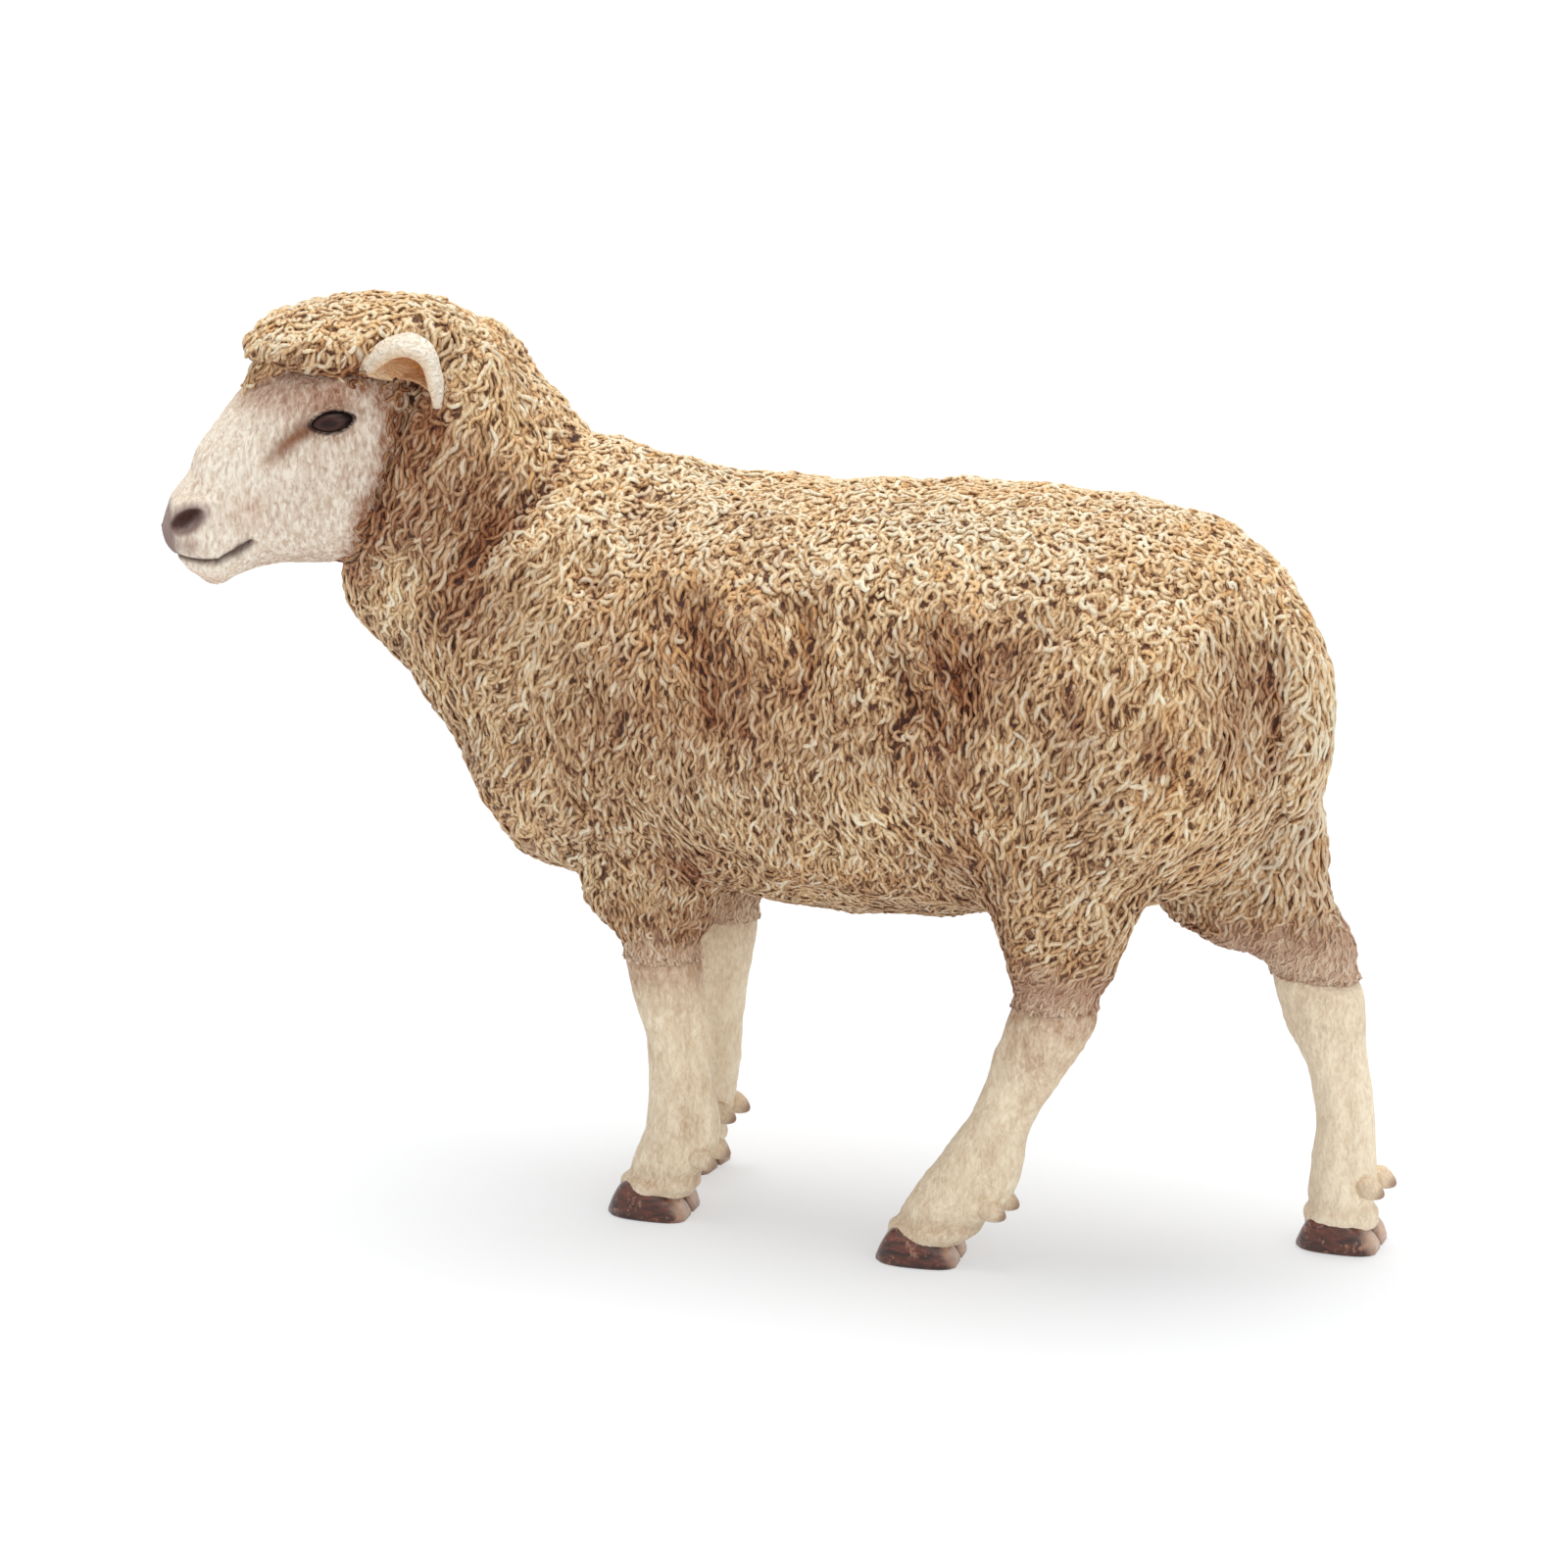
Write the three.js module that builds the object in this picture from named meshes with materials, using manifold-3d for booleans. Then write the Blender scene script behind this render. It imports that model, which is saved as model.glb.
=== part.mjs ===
// A toy ewe in a curly fleece, caught in mid walk, its head turned to its left.
// Millimetres, +X towards the breast, +Y towards the left flank, +Z up, soles on z = 0.
import * as THREE from "three";
import { mergeVertices } from "three/addons/utils/BufferGeometryUtils.js";
import Module from "manifold-3d";

// Trunk
const trunkLength = 69;
const trunkWidth = 30.5;
const trunkDepth = 33;
const bellyHeight = 25;
const rumpPlace = -41;

// Neck: how far the head's root lies ahead of, above and beside the neck's root
const neckRun = 17.5;
const neckRise = 15;
const neckDrift = 1.9;
const neckDepth = 33;
const neckWidth = 26;
const neckTilt = 28;
const headTurn = 28;

// Head, and the cap of wool on its crown
const headLength = 22;
const headDepth = 17;
const headWidth = 13;
const crownLength = 15.8;
const crownWidth = 13.2;
const crownHeight = 7;

// Ears, eyes and tail
const earLength = 9.2;
const earWidth = 5;
const earThickness = 1.3;
const eyeLength = 3.5;
const eyeHeight = 2;
const eyeDepth = 2.4;
const tailLength = 16;
const tailWidth = 7.5;
const tailThickness = 4.4;

// Legs
const frontShankThickness = 4.8;
const rearShankThickness = 4.8;
const frontThighLength = 17;
const frontThighWidth = 10;
const rearThighLength = 25;
const rearThighWidth = 16;

// Hooves
const clawLength = 6.3;
const clawWidth = 2.8;
const clawHeight = 2.9;
const clawRounding = 0.35;
const clawGap = 0.4;
const dewclawLength = 2.6;
const dewclawWidth = 1.5;

// Relief of the fleece: tufts all over, and the folds between the bigger locks
const tuftPitch = 5.8;
const tuftDepth = 1;
const foldWidth = 1.5;
const foldDepth = 1.2;

// Fits between the pieces
const fitClearance = 0.3;
const shoulderPegWidth = 12;
const shoulderPegLength = 7;

// Fineness of the skins
const trunkFineness = { steps: 36, sides: 46 };
const neckFineness = { steps: 19, sides: 42 };
const crownFineness = { steps: 8, sides: 28 };
const thighFineness = { steps: 15, sides: 28 };
const headFineness = { steps: 18, sides: 22 };
const shankFineness = { steps: 14, sides: 12 };
const smallFineness = { steps: 8, sides: 12 };
const ballSides = 10;
const pegSides = 30;
const bevelSteps = 2;

const roundSquareness = 2;
const trunkSquareness = 2.25;
const faceSquareness = 2.5;

const materials = {
  fleece: new THREE.MeshStandardMaterial({ color: 0xc39a6c, roughness: 0.75, metalness: 0 }),
  face: new THREE.MeshStandardMaterial({ color: 0xd5c2ae, roughness: 0.65, metalness: 0 }),
  ear: new THREE.MeshStandardMaterial({ color: 0xe2d6c2, roughness: 0.6, metalness: 0 }),
  eye: new THREE.MeshStandardMaterial({ color: 0x33231c, roughness: 0.25, metalness: 0 }),
  shank: new THREE.MeshStandardMaterial({ color: 0xe0ccae, roughness: 0.6, metalness: 0 }),
  claw: new THREE.MeshStandardMaterial({ color: 0x694a3c, roughness: 0.4, metalness: 0 }),
};

const { lerp, degToRad, smoothstep } = THREE.MathUtils;
const wasm = await Module();
wasm.setup();

// Rows of a table made finer on a smooth curve through them. A row's first number is its place.
function finer(rows, steps) {
  const places = rows.map((row) => row[0]);
  const curve = new THREE.CubicInterpolant(places, rows.flat(), rows[0].length);
  const at = (step) => lerp(places[0], places.at(-1), step / steps);
  return Array.from({ length: steps + 1 }, (_, step) => Array.from(curve.evaluate(at(step))));
}

// An oval section about a centre, with its half width and half height as vectors.
function oval(centre, across, upward, sides, squareness) {
  const pull = (wave) => Math.sign(wave) * Math.abs(wave) ** (2 / squareness);
  return Array.from({ length: sides }, (_, side) => {
    const angle = (2 * Math.PI * side) / sides;
    return centre
      .clone()
      .addScaledVector(across, pull(Math.cos(angle)))
      .addScaledVector(upward, pull(Math.sin(angle)));
  });
}

const middleOf = (section) =>
  section.reduce((sum, point) => sum.add(point), new THREE.Vector3()).divideScalar(section.length);

// A closed skin over a row of sections, with a fan of faces over each end.
function skinOver(sections) {
  const sides = sections[0].length;
  const last = sections.length - 1;
  const points = [...sections.flat(), middleOf(sections[0]), middleOf(sections[last])];
  const faces = [];
  for (let side = 0; side < sides; side += 1) {
    const next = (side + 1) % sides;
    for (let row = 0; row < last; row += 1) {
      const near = row * sides;
      const far = near + sides;
      faces.push(near + side, near + next, far + next, near + side, far + next, far + side);
    }
    faces.push(points.length - 2, next, side);
    faces.push(points.length - 1, last * sides + side, last * sides + next);
  }
  return facingOut(new THREE.BufferGeometry().setFromPoints(points).setIndex(faces));
}

// The same shape with its faces turned round if it encloses a negative volume.
function facingOut(shape) {
  const at = (corner) => new THREE.Vector3().fromBufferAttribute(shape.attributes.position, corner);
  const faces = shape.index.array;
  let volume = 0;
  for (let i = 0; i < faces.length; i += 3) {
    volume += at(faces[i]).dot(at(faces[i + 1]).cross(at(faces[i + 2])));
  }
  if (volume < 0) shape.index.array.reverse();
  return shape;
}

// The shape with only its places left, each of them once.
function bare(shape) {
  const copy = shape.clone();
  copy.deleteAttribute("uv");
  copy.deleteAttribute("normal");
  return mergeVertices(copy);
}

// The shape with every point moved out along its normal, as the hollow that it fits into.
function grown(shape, clearance) {
  const copy = bare(shape);
  copy.computeVertexNormals();
  const { position, normal } = copy.attributes;
  for (let i = 0; i < position.count; i += 1) {
    const out = new THREE.Vector3().fromBufferAttribute(normal, i).multiplyScalar(clearance);
    const moved = new THREE.Vector3().fromBufferAttribute(position, i).add(out);
    position.setXYZ(i, moved.x, moved.y, moved.z);
  }
  return copy;
}

function toSolid(shape) {
  const merged = bare(shape);
  return new wasm.Manifold(
    new wasm.Mesh({
      numProp: 3,
      vertProperties: merged.attributes.position.array,
      triVerts: new Uint32Array(merged.index.array),
    }),
  );
}

function toShape(solid) {
  const mesh = solid.getMesh();
  return new THREE.BufferGeometry()
    .setAttribute("position", new THREE.BufferAttribute(mesh.vertProperties, 3))
    .setIndex(new THREE.BufferAttribute(mesh.triVerts, 1));
}

const joined = (shapes) => toShape(shapes.map(toSolid).reduce((sum, solid) => sum.add(solid)));

const cut = (shape, tools) =>
  toShape(tools.map(toSolid).reduce((left, tool) => left.subtract(tool), toSolid(shape)));

const common = (a, b) => toShape(toSolid(a).intersect(toSolid(b)));

// A ball stretched to a length, width and height, turned, and set about a centre.
function ball(size, centre, turn = new THREE.Matrix4()) {
  const place = new THREE.Matrix4().setPosition(centre).multiply(turn);
  const half = size.clone().divideScalar(2);
  return new THREE.SphereGeometry(1, ballSides, ballSides)
    .scale(half.x, half.y, half.z)
    .applyMatrix4(place);
}

// Neck root: its place on the trunk, from which the neck and the head are set out
const neckRootShare = 0.74;
const neckRootRiseShare = 0.54;
const neckRoot = new THREE.Vector3(
  rumpPlace + trunkLength * neckRootShare,
  0,
  bellyHeight + trunkDepth * neckRootRiseShare,
);

// The head's own frame: ahead, aside and above its root at the back of the skull
const headFrame = new THREE.Matrix4()
  .makeRotationZ(degToRad(headTurn))
  .setPosition(neckRoot.clone().add(new THREE.Vector3(neckRun, neckDrift, neckRise)));

// Tufts: waves that cross each other, each with its direction over the pitch and its start
const tuftWaveShares = [
  [0.86, 0.24, 0.22, 0.1],
  [-0.3, 0.52, 0.66, 0.4],
  [0.42, -0.62, 0.48, 0.75],
];

// Folds: side of the body, then places along the trunk and above the belly
const foldShares = [
  { side: 1, line: [[0.4, 0.676], [0.382, 0.618], [0.385, 0.57], [0.403, 0.545]] },
  { side: 1, line: [[0.36, 0.73], [0.344, 0.66], [0.356, 0.585], [0.341, 0.533]] },
  { side: 1, line: [[0.028, 0.71], [0.017, 0.576], [0.023, 0.455]] },
  { side: 1, line: [[0.846, 1.055], [0.849, 0.961], [0.89, 0.855], [0.929, 0.77]] },
  { side: 1, line: [[0.755, 0.964], [0.751, 0.915], [0.78, 0.794], [0.768, 0.739]] },
  { side: 1, line: [[0.638, 0.715], [0.623, 0.612], [0.611, 0.509]] },
  { side: 1, line: [[0.513, 0.77], [0.504, 0.673], [0.51, 0.594]] },
  { side: 1, line: [[0.11, 0.6], [0.098, 0.5]] },
  { side: -1, line: [[0.829, 1.067], [0.84, 0.927], [0.867, 0.806]] },
  { side: -1, line: [[0.42, 0.685], [0.403, 0.612], [0.409, 0.552]] },
  { side: -1, line: [[0.313, 0.715], [0.295, 0.618], [0.307, 0.533]] },
  { side: -1, line: [[0.09, 0.642], [0.075, 0.533]] },
  { side: -1, line: [[0.617, 0.673], [0.606, 0.533]] },
];
const foldRows = foldShares.map(({ side, line }) => {
  const place = ([along, up]) =>
    new THREE.Vector3(rumpPlace + trunkLength * along, 0, bellyHeight + trunkDepth * up);
  const stretches = line.slice(1).map((end, index) => new THREE.Line3(place(line[index]), place(end)));
  return { side, stretches };
});

// How near a point is to a fold: 1 on its line, falling off over its width.
const foldFacingShare = 0.2;

function foldAt(point, { side, stretches }) {
  const flat = new THREE.Vector3(point.x, 0, point.z);
  const gaps = stretches.map((stretch) =>
    stretch.closestPointToPoint(flat, true, new THREE.Vector3()).distanceTo(flat),
  );
  const facing = smoothstep(side * point.y, 0, trunkWidth * foldFacingShare);
  return facing * Math.exp(-((Math.min(...gaps) / foldWidth) ** 2));
}

// How deep the fleece is pressed in at a point. It stays smooth at the hems and under the hood.
const hemClearShares = [0.88, 1.12];
const hoodClearShares = [-0.06, 0.14];
const reliefReachShare = 0.25;
const toHead = headFrame.clone().invert();

function reliefAt(point) {
  const crossing = tuftWaveShares.map(([x, y, z, start]) => {
    const turns = point.dot(new THREE.Vector3(x, y, z)) / tuftPitch + start;
    return Math.sin(2 * Math.PI * turns);
  });
  const tuft = crossing.reduce((sum, height) => sum + height) / crossing.length;
  const fold = Math.max(...foldRows.map((row) => foldAt(point, row)));
  const [hemLow, hemHigh] = hemClearShares.map((share) => share * bellyHeight);
  const [hoodLow, hoodHigh] = hoodClearShares.map((share) => share * headLength);
  const ahead = point.clone().applyMatrix4(toHead).x;
  const clear = smoothstep(point.z, hemLow, hemHigh) * (1 - smoothstep(ahead, hoodLow, hoodHigh));
  return clear * ((tuftDepth * (1 - tuft)) / 2 + foldDepth * fold);
}

// Sections of fleece with the relief pressed in towards their middles.
function woolly(sections) {
  return sections.map((section) => {
    const middle = middleOf(section);
    return section.map((point) => {
      const inward = middle.clone().sub(point);
      const depth = Math.min(reliefAt(point), inward.length() * reliefReachShare);
      return point.clone().addScaledVector(inward.normalize(), depth);
    });
  });
}

// Trunk: place along the trunk, back line and belly line over the belly's height, half width
const trunkShares = [
  [0, 0.62, 0.46, 0.08],
  [0.02, 0.77, 0.32, 0.21],
  [0.055, 0.865, 0.22, 0.3],
  [0.11, 0.935, 0.12, 0.39],
  [0.2, 0.985, 0.05, 0.455],
  [0.35, 1, 0.02, 0.49],
  [0.5, 0.985, -0.005, 0.5],
  [0.62, 0.965, 0, 0.49],
  [0.73, 0.965, 0.01, 0.455],
  [0.82, 0.96, -0.01, 0.41],
  [0.895, 0.9, 0.02, 0.34],
  [0.95, 0.79, 0.1, 0.25],
  [0.985, 0.66, 0.24, 0.14],
  [1, 0.56, 0.38, 0.06],
];

function trunkSkin() {
  const { steps, sides } = trunkFineness;
  const sections = finer(trunkShares, steps).map(([along, back, belly, half]) => {
    const middle = bellyHeight + (trunkDepth * (back + belly)) / 2;
    const centre = new THREE.Vector3(rumpPlace + trunkLength * along, 0, middle);
    const across = new THREE.Vector3(0, trunkWidth * half, 0);
    const upward = new THREE.Vector3(0, 0, (trunkDepth * (back - belly)) / 2);
    return oval(centre, across, upward, sides, trunkSquareness);
  });
  return skinOver(woolly(sections));
}

// Neck: step, run, rise, drift, tilt, turn, half depth, half width
const neckShares = [
  [0, 0, 0, 0, 0.9, 0, 0.45, 0.46],
  [1, 0.5, 0.19, 0, 0.95, 0, 0.428, 0.47],
  [2, 0.83, 0.52, 0.42, 1, 0.36, 0.372, 0.42],
  [3, 1.01, 0.81, 1.05, 1, 0.71, 0.36, 0.37],
  [4, 1.12, 0.965, 1.7, 0.95, 0.93, 0.33, 0.325],
  [5, 1.22, 1.05, 2.25, 0.9, 1, 0.28, 0.28],
];

function neckSkin() {
  const { steps, sides } = neckFineness;
  const rows = finer(neckShares, steps);
  const sections = rows.map(([, run, rise, drift, tilt, turn, depth, half]) => {
    const centre = new THREE.Vector3(neckRun * run, neckDrift * drift, neckRise * rise).add(neckRoot);
    const facing = new THREE.Matrix4()
      .makeRotationZ(degToRad(headTurn * turn))
      .multiply(new THREE.Matrix4().makeRotationY(-degToRad(neckTilt * tilt)));
    const across = new THREE.Vector3(0, neckWidth * half, 0).applyMatrix4(facing);
    const upward = new THREE.Vector3(0, 0, neckDepth * depth).applyMatrix4(facing);
    return oval(centre, across, upward, sides, roundSquareness);
  });
  return skinOver(woolly(sections));
}

// Crown: place along it, lift of its middle, half height, half width
const crownLiftShare = 0.51;
const crownShares = [
  [-0.3, -0.8, 0.3, 0.3],
  [0, -0.12, 0.4, 0.42],
  [0.19, 0, 0.48, 0.47],
  [0.45, 0, 0.5, 0.5],
  [0.64, 0, 0.43, 0.46],
  [0.8, 0, 0.3, 0.39],
  [0.93, -0.11, 0.19, 0.27],
  [0.99, -0.16, 0.09, 0.14],
];

function crownSkin() {
  const { steps, sides } = crownFineness;
  const sections = finer(crownShares, steps).map(([along, lift, tall, half]) => {
    const rise = headDepth * crownLiftShare + crownHeight * lift;
    const centre = new THREE.Vector3(crownLength * along, 0, rise);
    const across = new THREE.Vector3(0, crownWidth * half, 0);
    const upward = new THREE.Vector3(0, 0, crownHeight * tall);
    return oval(centre, across, upward, sides, roundSquareness);
  });
  return skinOver(sections).applyMatrix4(headFrame);
}

// Head: step, top line ahead and above, jaw line ahead and above, half width
const headShares = [
  [0, 0, 0.235, 0, -0.18, 0.26],
  [1, 0.11, 0.42, 0.13, -0.36, 0.4],
  [2, 0.27, 0.52, 0.27, -0.46, 0.455],
  [3, 0.455, 0.5, 0.41, -0.49, 0.47],
  [4, 0.6, 0.41, 0.525, -0.49, 0.425],
  [5, 0.725, 0.22, 0.635, -0.49, 0.36],
  [6, 0.825, 0.04, 0.735, -0.51, 0.305],
  [7, 0.91, -0.13, 0.825, -0.55, 0.28],
  [8, 0.96, -0.235, 0.89, -0.56, 0.235],
  [9, 0.99, -0.32, 0.95, -0.51, 0.15],
];

function headSkin() {
  const { steps, sides } = headFineness;
  const rows = finer(headShares, steps);
  const sections = rows.map(([, topAhead, topRise, jawAhead, jawRise, half]) => {
    const top = new THREE.Vector3(headLength * topAhead, 0, headDepth * topRise);
    const jaw = new THREE.Vector3(headLength * jawAhead, 0, headDepth * jawRise);
    const centre = top.clone().add(jaw).divideScalar(2);
    const upward = top.clone().sub(jaw).divideScalar(2);
    const across = new THREE.Vector3(0, headWidth * half, 0);
    return oval(centre, across, upward, sides, faceSquareness);
  });
  return skinOver(sections).applyMatrix4(headFrame);
}

// Eyes: place of the left one on the head, and how it follows the slope of the cheek
const eyeAheadShare = 0.425;
const eyeAsideShare = 0.4;
const eyeRiseShare = 0.205;
const eyeSlant = -14;
const eyeToe = 12;

function eyeSkin(side) {
  const centre = new THREE.Vector3(
    headLength * eyeAheadShare,
    side * headWidth * eyeAsideShare,
    headDepth * eyeRiseShare,
  );
  const turn = new THREE.Matrix4()
    .makeRotationZ(-side * degToRad(eyeToe))
    .multiply(new THREE.Matrix4().makeRotationY(degToRad(-eyeSlant)));
  return ball(new THREE.Vector3(eyeLength, eyeDepth, eyeHeight), centre, turn).applyMatrix4(headFrame);
}

// Ear: place along it, then behind, beside and above its root, half width, half thickness
const earAheadShare = 0.24;
const earAsideShare = 0.33;
const earRiseShare = 0.36;
const earShares = [
  [0, 0, 0, 0, 0.24, 0.5],
  [0.25, 0.05, 0.2, 0.17, 0.36, 0.5],
  [0.5, 0.16, 0.39, 0.3, 0.5, 0.48],
  [0.75, 0.31, 0.53, 0.22, 0.42, 0.44],
  [0.92, 0.42, 0.6, 0.05, 0.24, 0.36],
  [1, 0.46, 0.62, -0.04, 0.1, 0.24],
];

function earSkin(side) {
  const { steps, sides } = smallFineness;
  const root = new THREE.Vector3(
    headLength * earAheadShare,
    side * headWidth * earAsideShare,
    headDepth * earRiseShare,
  );
  const rows = finer(earShares, steps);
  const spine = rows.map(([, behind, beside, above]) =>
    new THREE.Vector3(-behind, side * beside, above).multiplyScalar(earLength).add(root),
  );
  const sections = rows.map(([, , , , wide, thick], row) => {
    const along = spine[Math.min(row + 1, steps)].clone().sub(spine[Math.max(row - 1, 0)]).normalize();
    const level = new THREE.Vector3(0, 0, 1).cross(along).normalize();
    const over = along.clone().cross(level);
    const across = level.multiplyScalar(earWidth * wide);
    return oval(spine[row], across, over.multiplyScalar(earThickness * thick), sides, roundSquareness);
  });
  return skinOver(sections).applyMatrix4(headFrame);
}

// Tail: place down it, back from the rump's end, half width, half thickness
const tailRootShare = 0.8;
const tailShares = [
  [0, -0.75, 0.26, 0.3],
  [0.12, -0.45, 0.4, 0.42],
  [0.35, -0.15, 0.48, 0.5],
  [0.65, -0.1, 0.5, 0.48],
  [0.88, -0.15, 0.4, 0.36],
  [1, -0.2, 0.16, 0.14],
];

function tailSkin() {
  const { steps, sides } = smallFineness;
  const top = bellyHeight + trunkDepth * tailRootShare;
  const sections = finer(tailShares, steps).map(([down, back, half, thick]) => {
    const centre = new THREE.Vector3(rumpPlace - tailThickness * back, 0, top - tailLength * down);
    const across = new THREE.Vector3(0, tailWidth * half, 0);
    const along = new THREE.Vector3(tailThickness * thick, 0, 0);
    return oval(centre, across, along, sides, roundSquareness);
  });
  return skinOver(sections);
}

// Shanks: rise and place ahead of the hip over the belly height, half length and half width
// over the thickness
const frontShankShares = [
  [0.05, 0.03, 0.6, 0.58],
  [0.12, -0.002, 0.6, 0.55],
  [0.18, -0.03, 0.62, 0.54],
  [0.25, -0.06, 0.63, 0.52],
  [0.31, -0.069, 0.6, 0.48],
  [0.4, -0.067, 0.555, 0.44],
  [0.56, -0.051, 0.52, 0.43],
  [0.68, -0.03, 0.55, 0.48],
  [0.8, -0.009, 0.61, 0.53],
  [0.88, 0, 0.53, 0.47],
  [1.02, 0.01, 0.48, 0.43],
];
const leadingShankShares = [
  [0.05, 0.128, 0.6, 0.58],
  [0.12, 0.108, 0.6, 0.55],
  [0.17, 0.09, 0.58, 0.54],
  [0.28, 0.07, 0.61, 0.52],
  [0.34, 0.056, 0.58, 0.48],
  [0.44, 0.04, 0.54, 0.43],
  [0.56, 0.024, 0.52, 0.43],
  [0.68, 0.012, 0.55, 0.48],
  [0.8, 0.003, 0.61, 0.53],
  [0.88, 0, 0.53, 0.47],
  [1.02, 0.01, 0.48, 0.43],
];
const rearShankShares = [
  [0.05, 0.444, 0.6, 0.58],
  [0.12, 0.39, 0.72, 0.55],
  [0.17, 0.352, 0.77, 0.55],
  [0.23, 0.308, 0.78, 0.54],
  [0.28, 0.281, 0.75, 0.52],
  [0.34, 0.25, 0.66, 0.5],
  [0.41, 0.22, 0.57, 0.46],
  [0.48, 0.182, 0.52, 0.44],
  [0.56, 0.144, 0.54, 0.44],
  [0.64, 0.101, 0.59, 0.46],
  [0.72, 0.061, 0.66, 0.49],
  [0.8, 0.03, 0.7, 0.53],
  [0.88, 0.018, 0.6, 0.48],
  [1.06, 0, 0.48, 0.43],
];
const trailingShankShares = [
  [0.05, -0.195, 0.6, 0.58],
  [0.12, -0.19, 0.56, 0.55],
  [0.18, -0.195, 0.53, 0.54],
  [0.25, -0.199, 0.51, 0.53],
  [0.33, -0.201, 0.48, 0.5],
  [0.4, -0.199, 0.46, 0.45],
  [0.48, -0.189, 0.46, 0.44],
  [0.56, -0.171, 0.5, 0.45],
  [0.64, -0.148, 0.56, 0.48],
  [0.72, -0.127, 0.65, 0.52],
  [0.8, -0.107, 0.71, 0.54],
  [0.88, -0.075, 0.6, 0.48],
  [0.96, -0.04, 0.5, 0.45],
  [1.08, 0.02, 0.45, 0.43],
];

// Thighs in fleece: rise over the belly, place ahead of the hip, half length, half width, inward
const frontThighShares = [
  [-0.15, -0.01, 0.215, 0.32, 0],
  [-0.11, 0, 0.23, 0.34, 0],
  [-0.06, 0, 0.255, 0.37, 0.02],
  [0, 0.01, 0.32, 0.41, 0.03],
  [0.15, 0.02, 0.42, 0.48, 0],
  [0.35, 0.05, 0.5, 0.5, -0.04],
  [0.55, 0.1, 0.46, 0.42, 0],
  [0.7, 0.12, 0.3, 0.3, 0.1],
];
const rearThighShares = [
  [-0.13, 0.02, 0.165, 0.205, 0],
  [-0.076, 0.01, 0.17, 0.215, 0],
  [-0.006, 0, 0.19, 0.24, 0],
  [0.042, 0, 0.225, 0.275, 0],
  [0.09, 0.005, 0.265, 0.31, 0],
  [0.18, 0, 0.305, 0.37, 0.01],
  [0.303, -0.07, 0.41, 0.44, 0.02],
  [0.485, -0.12, 0.49, 0.48, 0.02],
  [0.667, -0.14, 0.46, 0.44, 0.05],
  [0.82, -0.14, 0.32, 0.28, 0.1],
];
const trailingThighShares = [
  [-0.13, -0.095, 0.165, 0.205, 0],
  [-0.085, -0.03, 0.21, 0.215, 0],
  [-0.042, 0.05, 0.265, 0.24, 0],
  [0, 0.12, 0.3, 0.28, 0],
  [0.088, 0.17, 0.325, 0.34, 0.01],
  [0.24, 0.23, 0.37, 0.41, 0.02],
  [0.4, 0.3, 0.42, 0.46, 0.02],
  [0.58, 0.34, 0.42, 0.44, 0.05],
  [0.76, 0.36, 0.3, 0.28, 0.1],
];

const frontLeg = {
  thickness: frontShankThickness,
  thighLength: frontThighLength,
  thighWidth: frontThighWidth,
};
const rearLeg = {
  thickness: rearShankThickness,
  thighLength: rearThighLength,
  thighWidth: rearThighWidth,
};
const legs = [
  {
    ...frontLeg,
    name: "front_left",
    alongShare: 0.721,
    asideShare: 0.172,
    toeTurn: 6,
    shankShares: frontShankShares,
    thighShares: frontThighShares,
  },
  {
    ...frontLeg,
    name: "front_right",
    alongShare: 0.719,
    asideShare: -0.204,
    toeTurn: -3,
    shankShares: leadingShankShares,
    thighShares: frontThighShares,
  },
  {
    ...rearLeg,
    name: "rear_left",
    alongShare: 0.239,
    asideShare: 0.248,
    toeTurn: 9,
    shankShares: rearShankShares,
    thighShares: rearThighShares,
  },
  {
    ...rearLeg,
    name: "rear_right",
    alongShare: 0.058,
    asideShare: -0.238,
    toeTurn: 6,
    shankShares: trailingShankShares,
    thighShares: trailingThighShares,
  },
];

const hipOf = (leg) =>
  new THREE.Vector3(rumpPlace + trunkLength * leg.alongShare, trunkWidth * leg.asideShare, 0);

function shankSkin(leg) {
  const { steps, sides } = shankFineness;
  const sections = finer(leg.shankShares, steps).map(([up, ahead, long, wide]) => {
    const centre = new THREE.Vector3(bellyHeight * ahead, 0, bellyHeight * up).add(hipOf(leg));
    const along = new THREE.Vector3(leg.thickness * long, 0, 0);
    const across = new THREE.Vector3(0, leg.thickness * wide, 0);
    return oval(centre, along, across, sides, roundSquareness);
  });
  return skinOver(sections);
}

function thighSkin(leg) {
  const { steps, sides } = thighFineness;
  const inward = -Math.sign(leg.asideShare);
  const sections = finer(leg.thighShares, steps).map(([up, ahead, long, wide, inset]) => {
    const rise = bellyHeight + trunkDepth * up;
    const shift = new THREE.Vector3(leg.thighLength * ahead, inward * leg.thighWidth * inset, rise);
    const centre = hipOf(leg).add(shift);
    const along = new THREE.Vector3(leg.thighLength * long, 0, 0);
    const across = new THREE.Vector3(0, leg.thighWidth * wide, 0);
    return oval(centre, along, across, sides, roundSquareness);
  });
  return skinOver(woolly(sections));
}

// Claw: side outline from heel to toe over the length and height, inside its rounded edges
const clawShares = [
  [0, 0],
  [1, 0],
  [1, 0.12],
  [0.8, 1],
  [0.16, 0.64],
  [0, 0.36],
];
const toeReachShare = 0.52;

function clawOutline(margin) {
  const long = clawLength - 2 * margin;
  const tall = clawHeight - 2 * margin;
  const start = clawLength * (toeReachShare - 1) + margin;
  const corners = clawShares.map(([x, z]) => new THREE.Vector2(start + long * x, margin + tall * z));
  return new THREE.Shape(corners);
}

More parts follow.
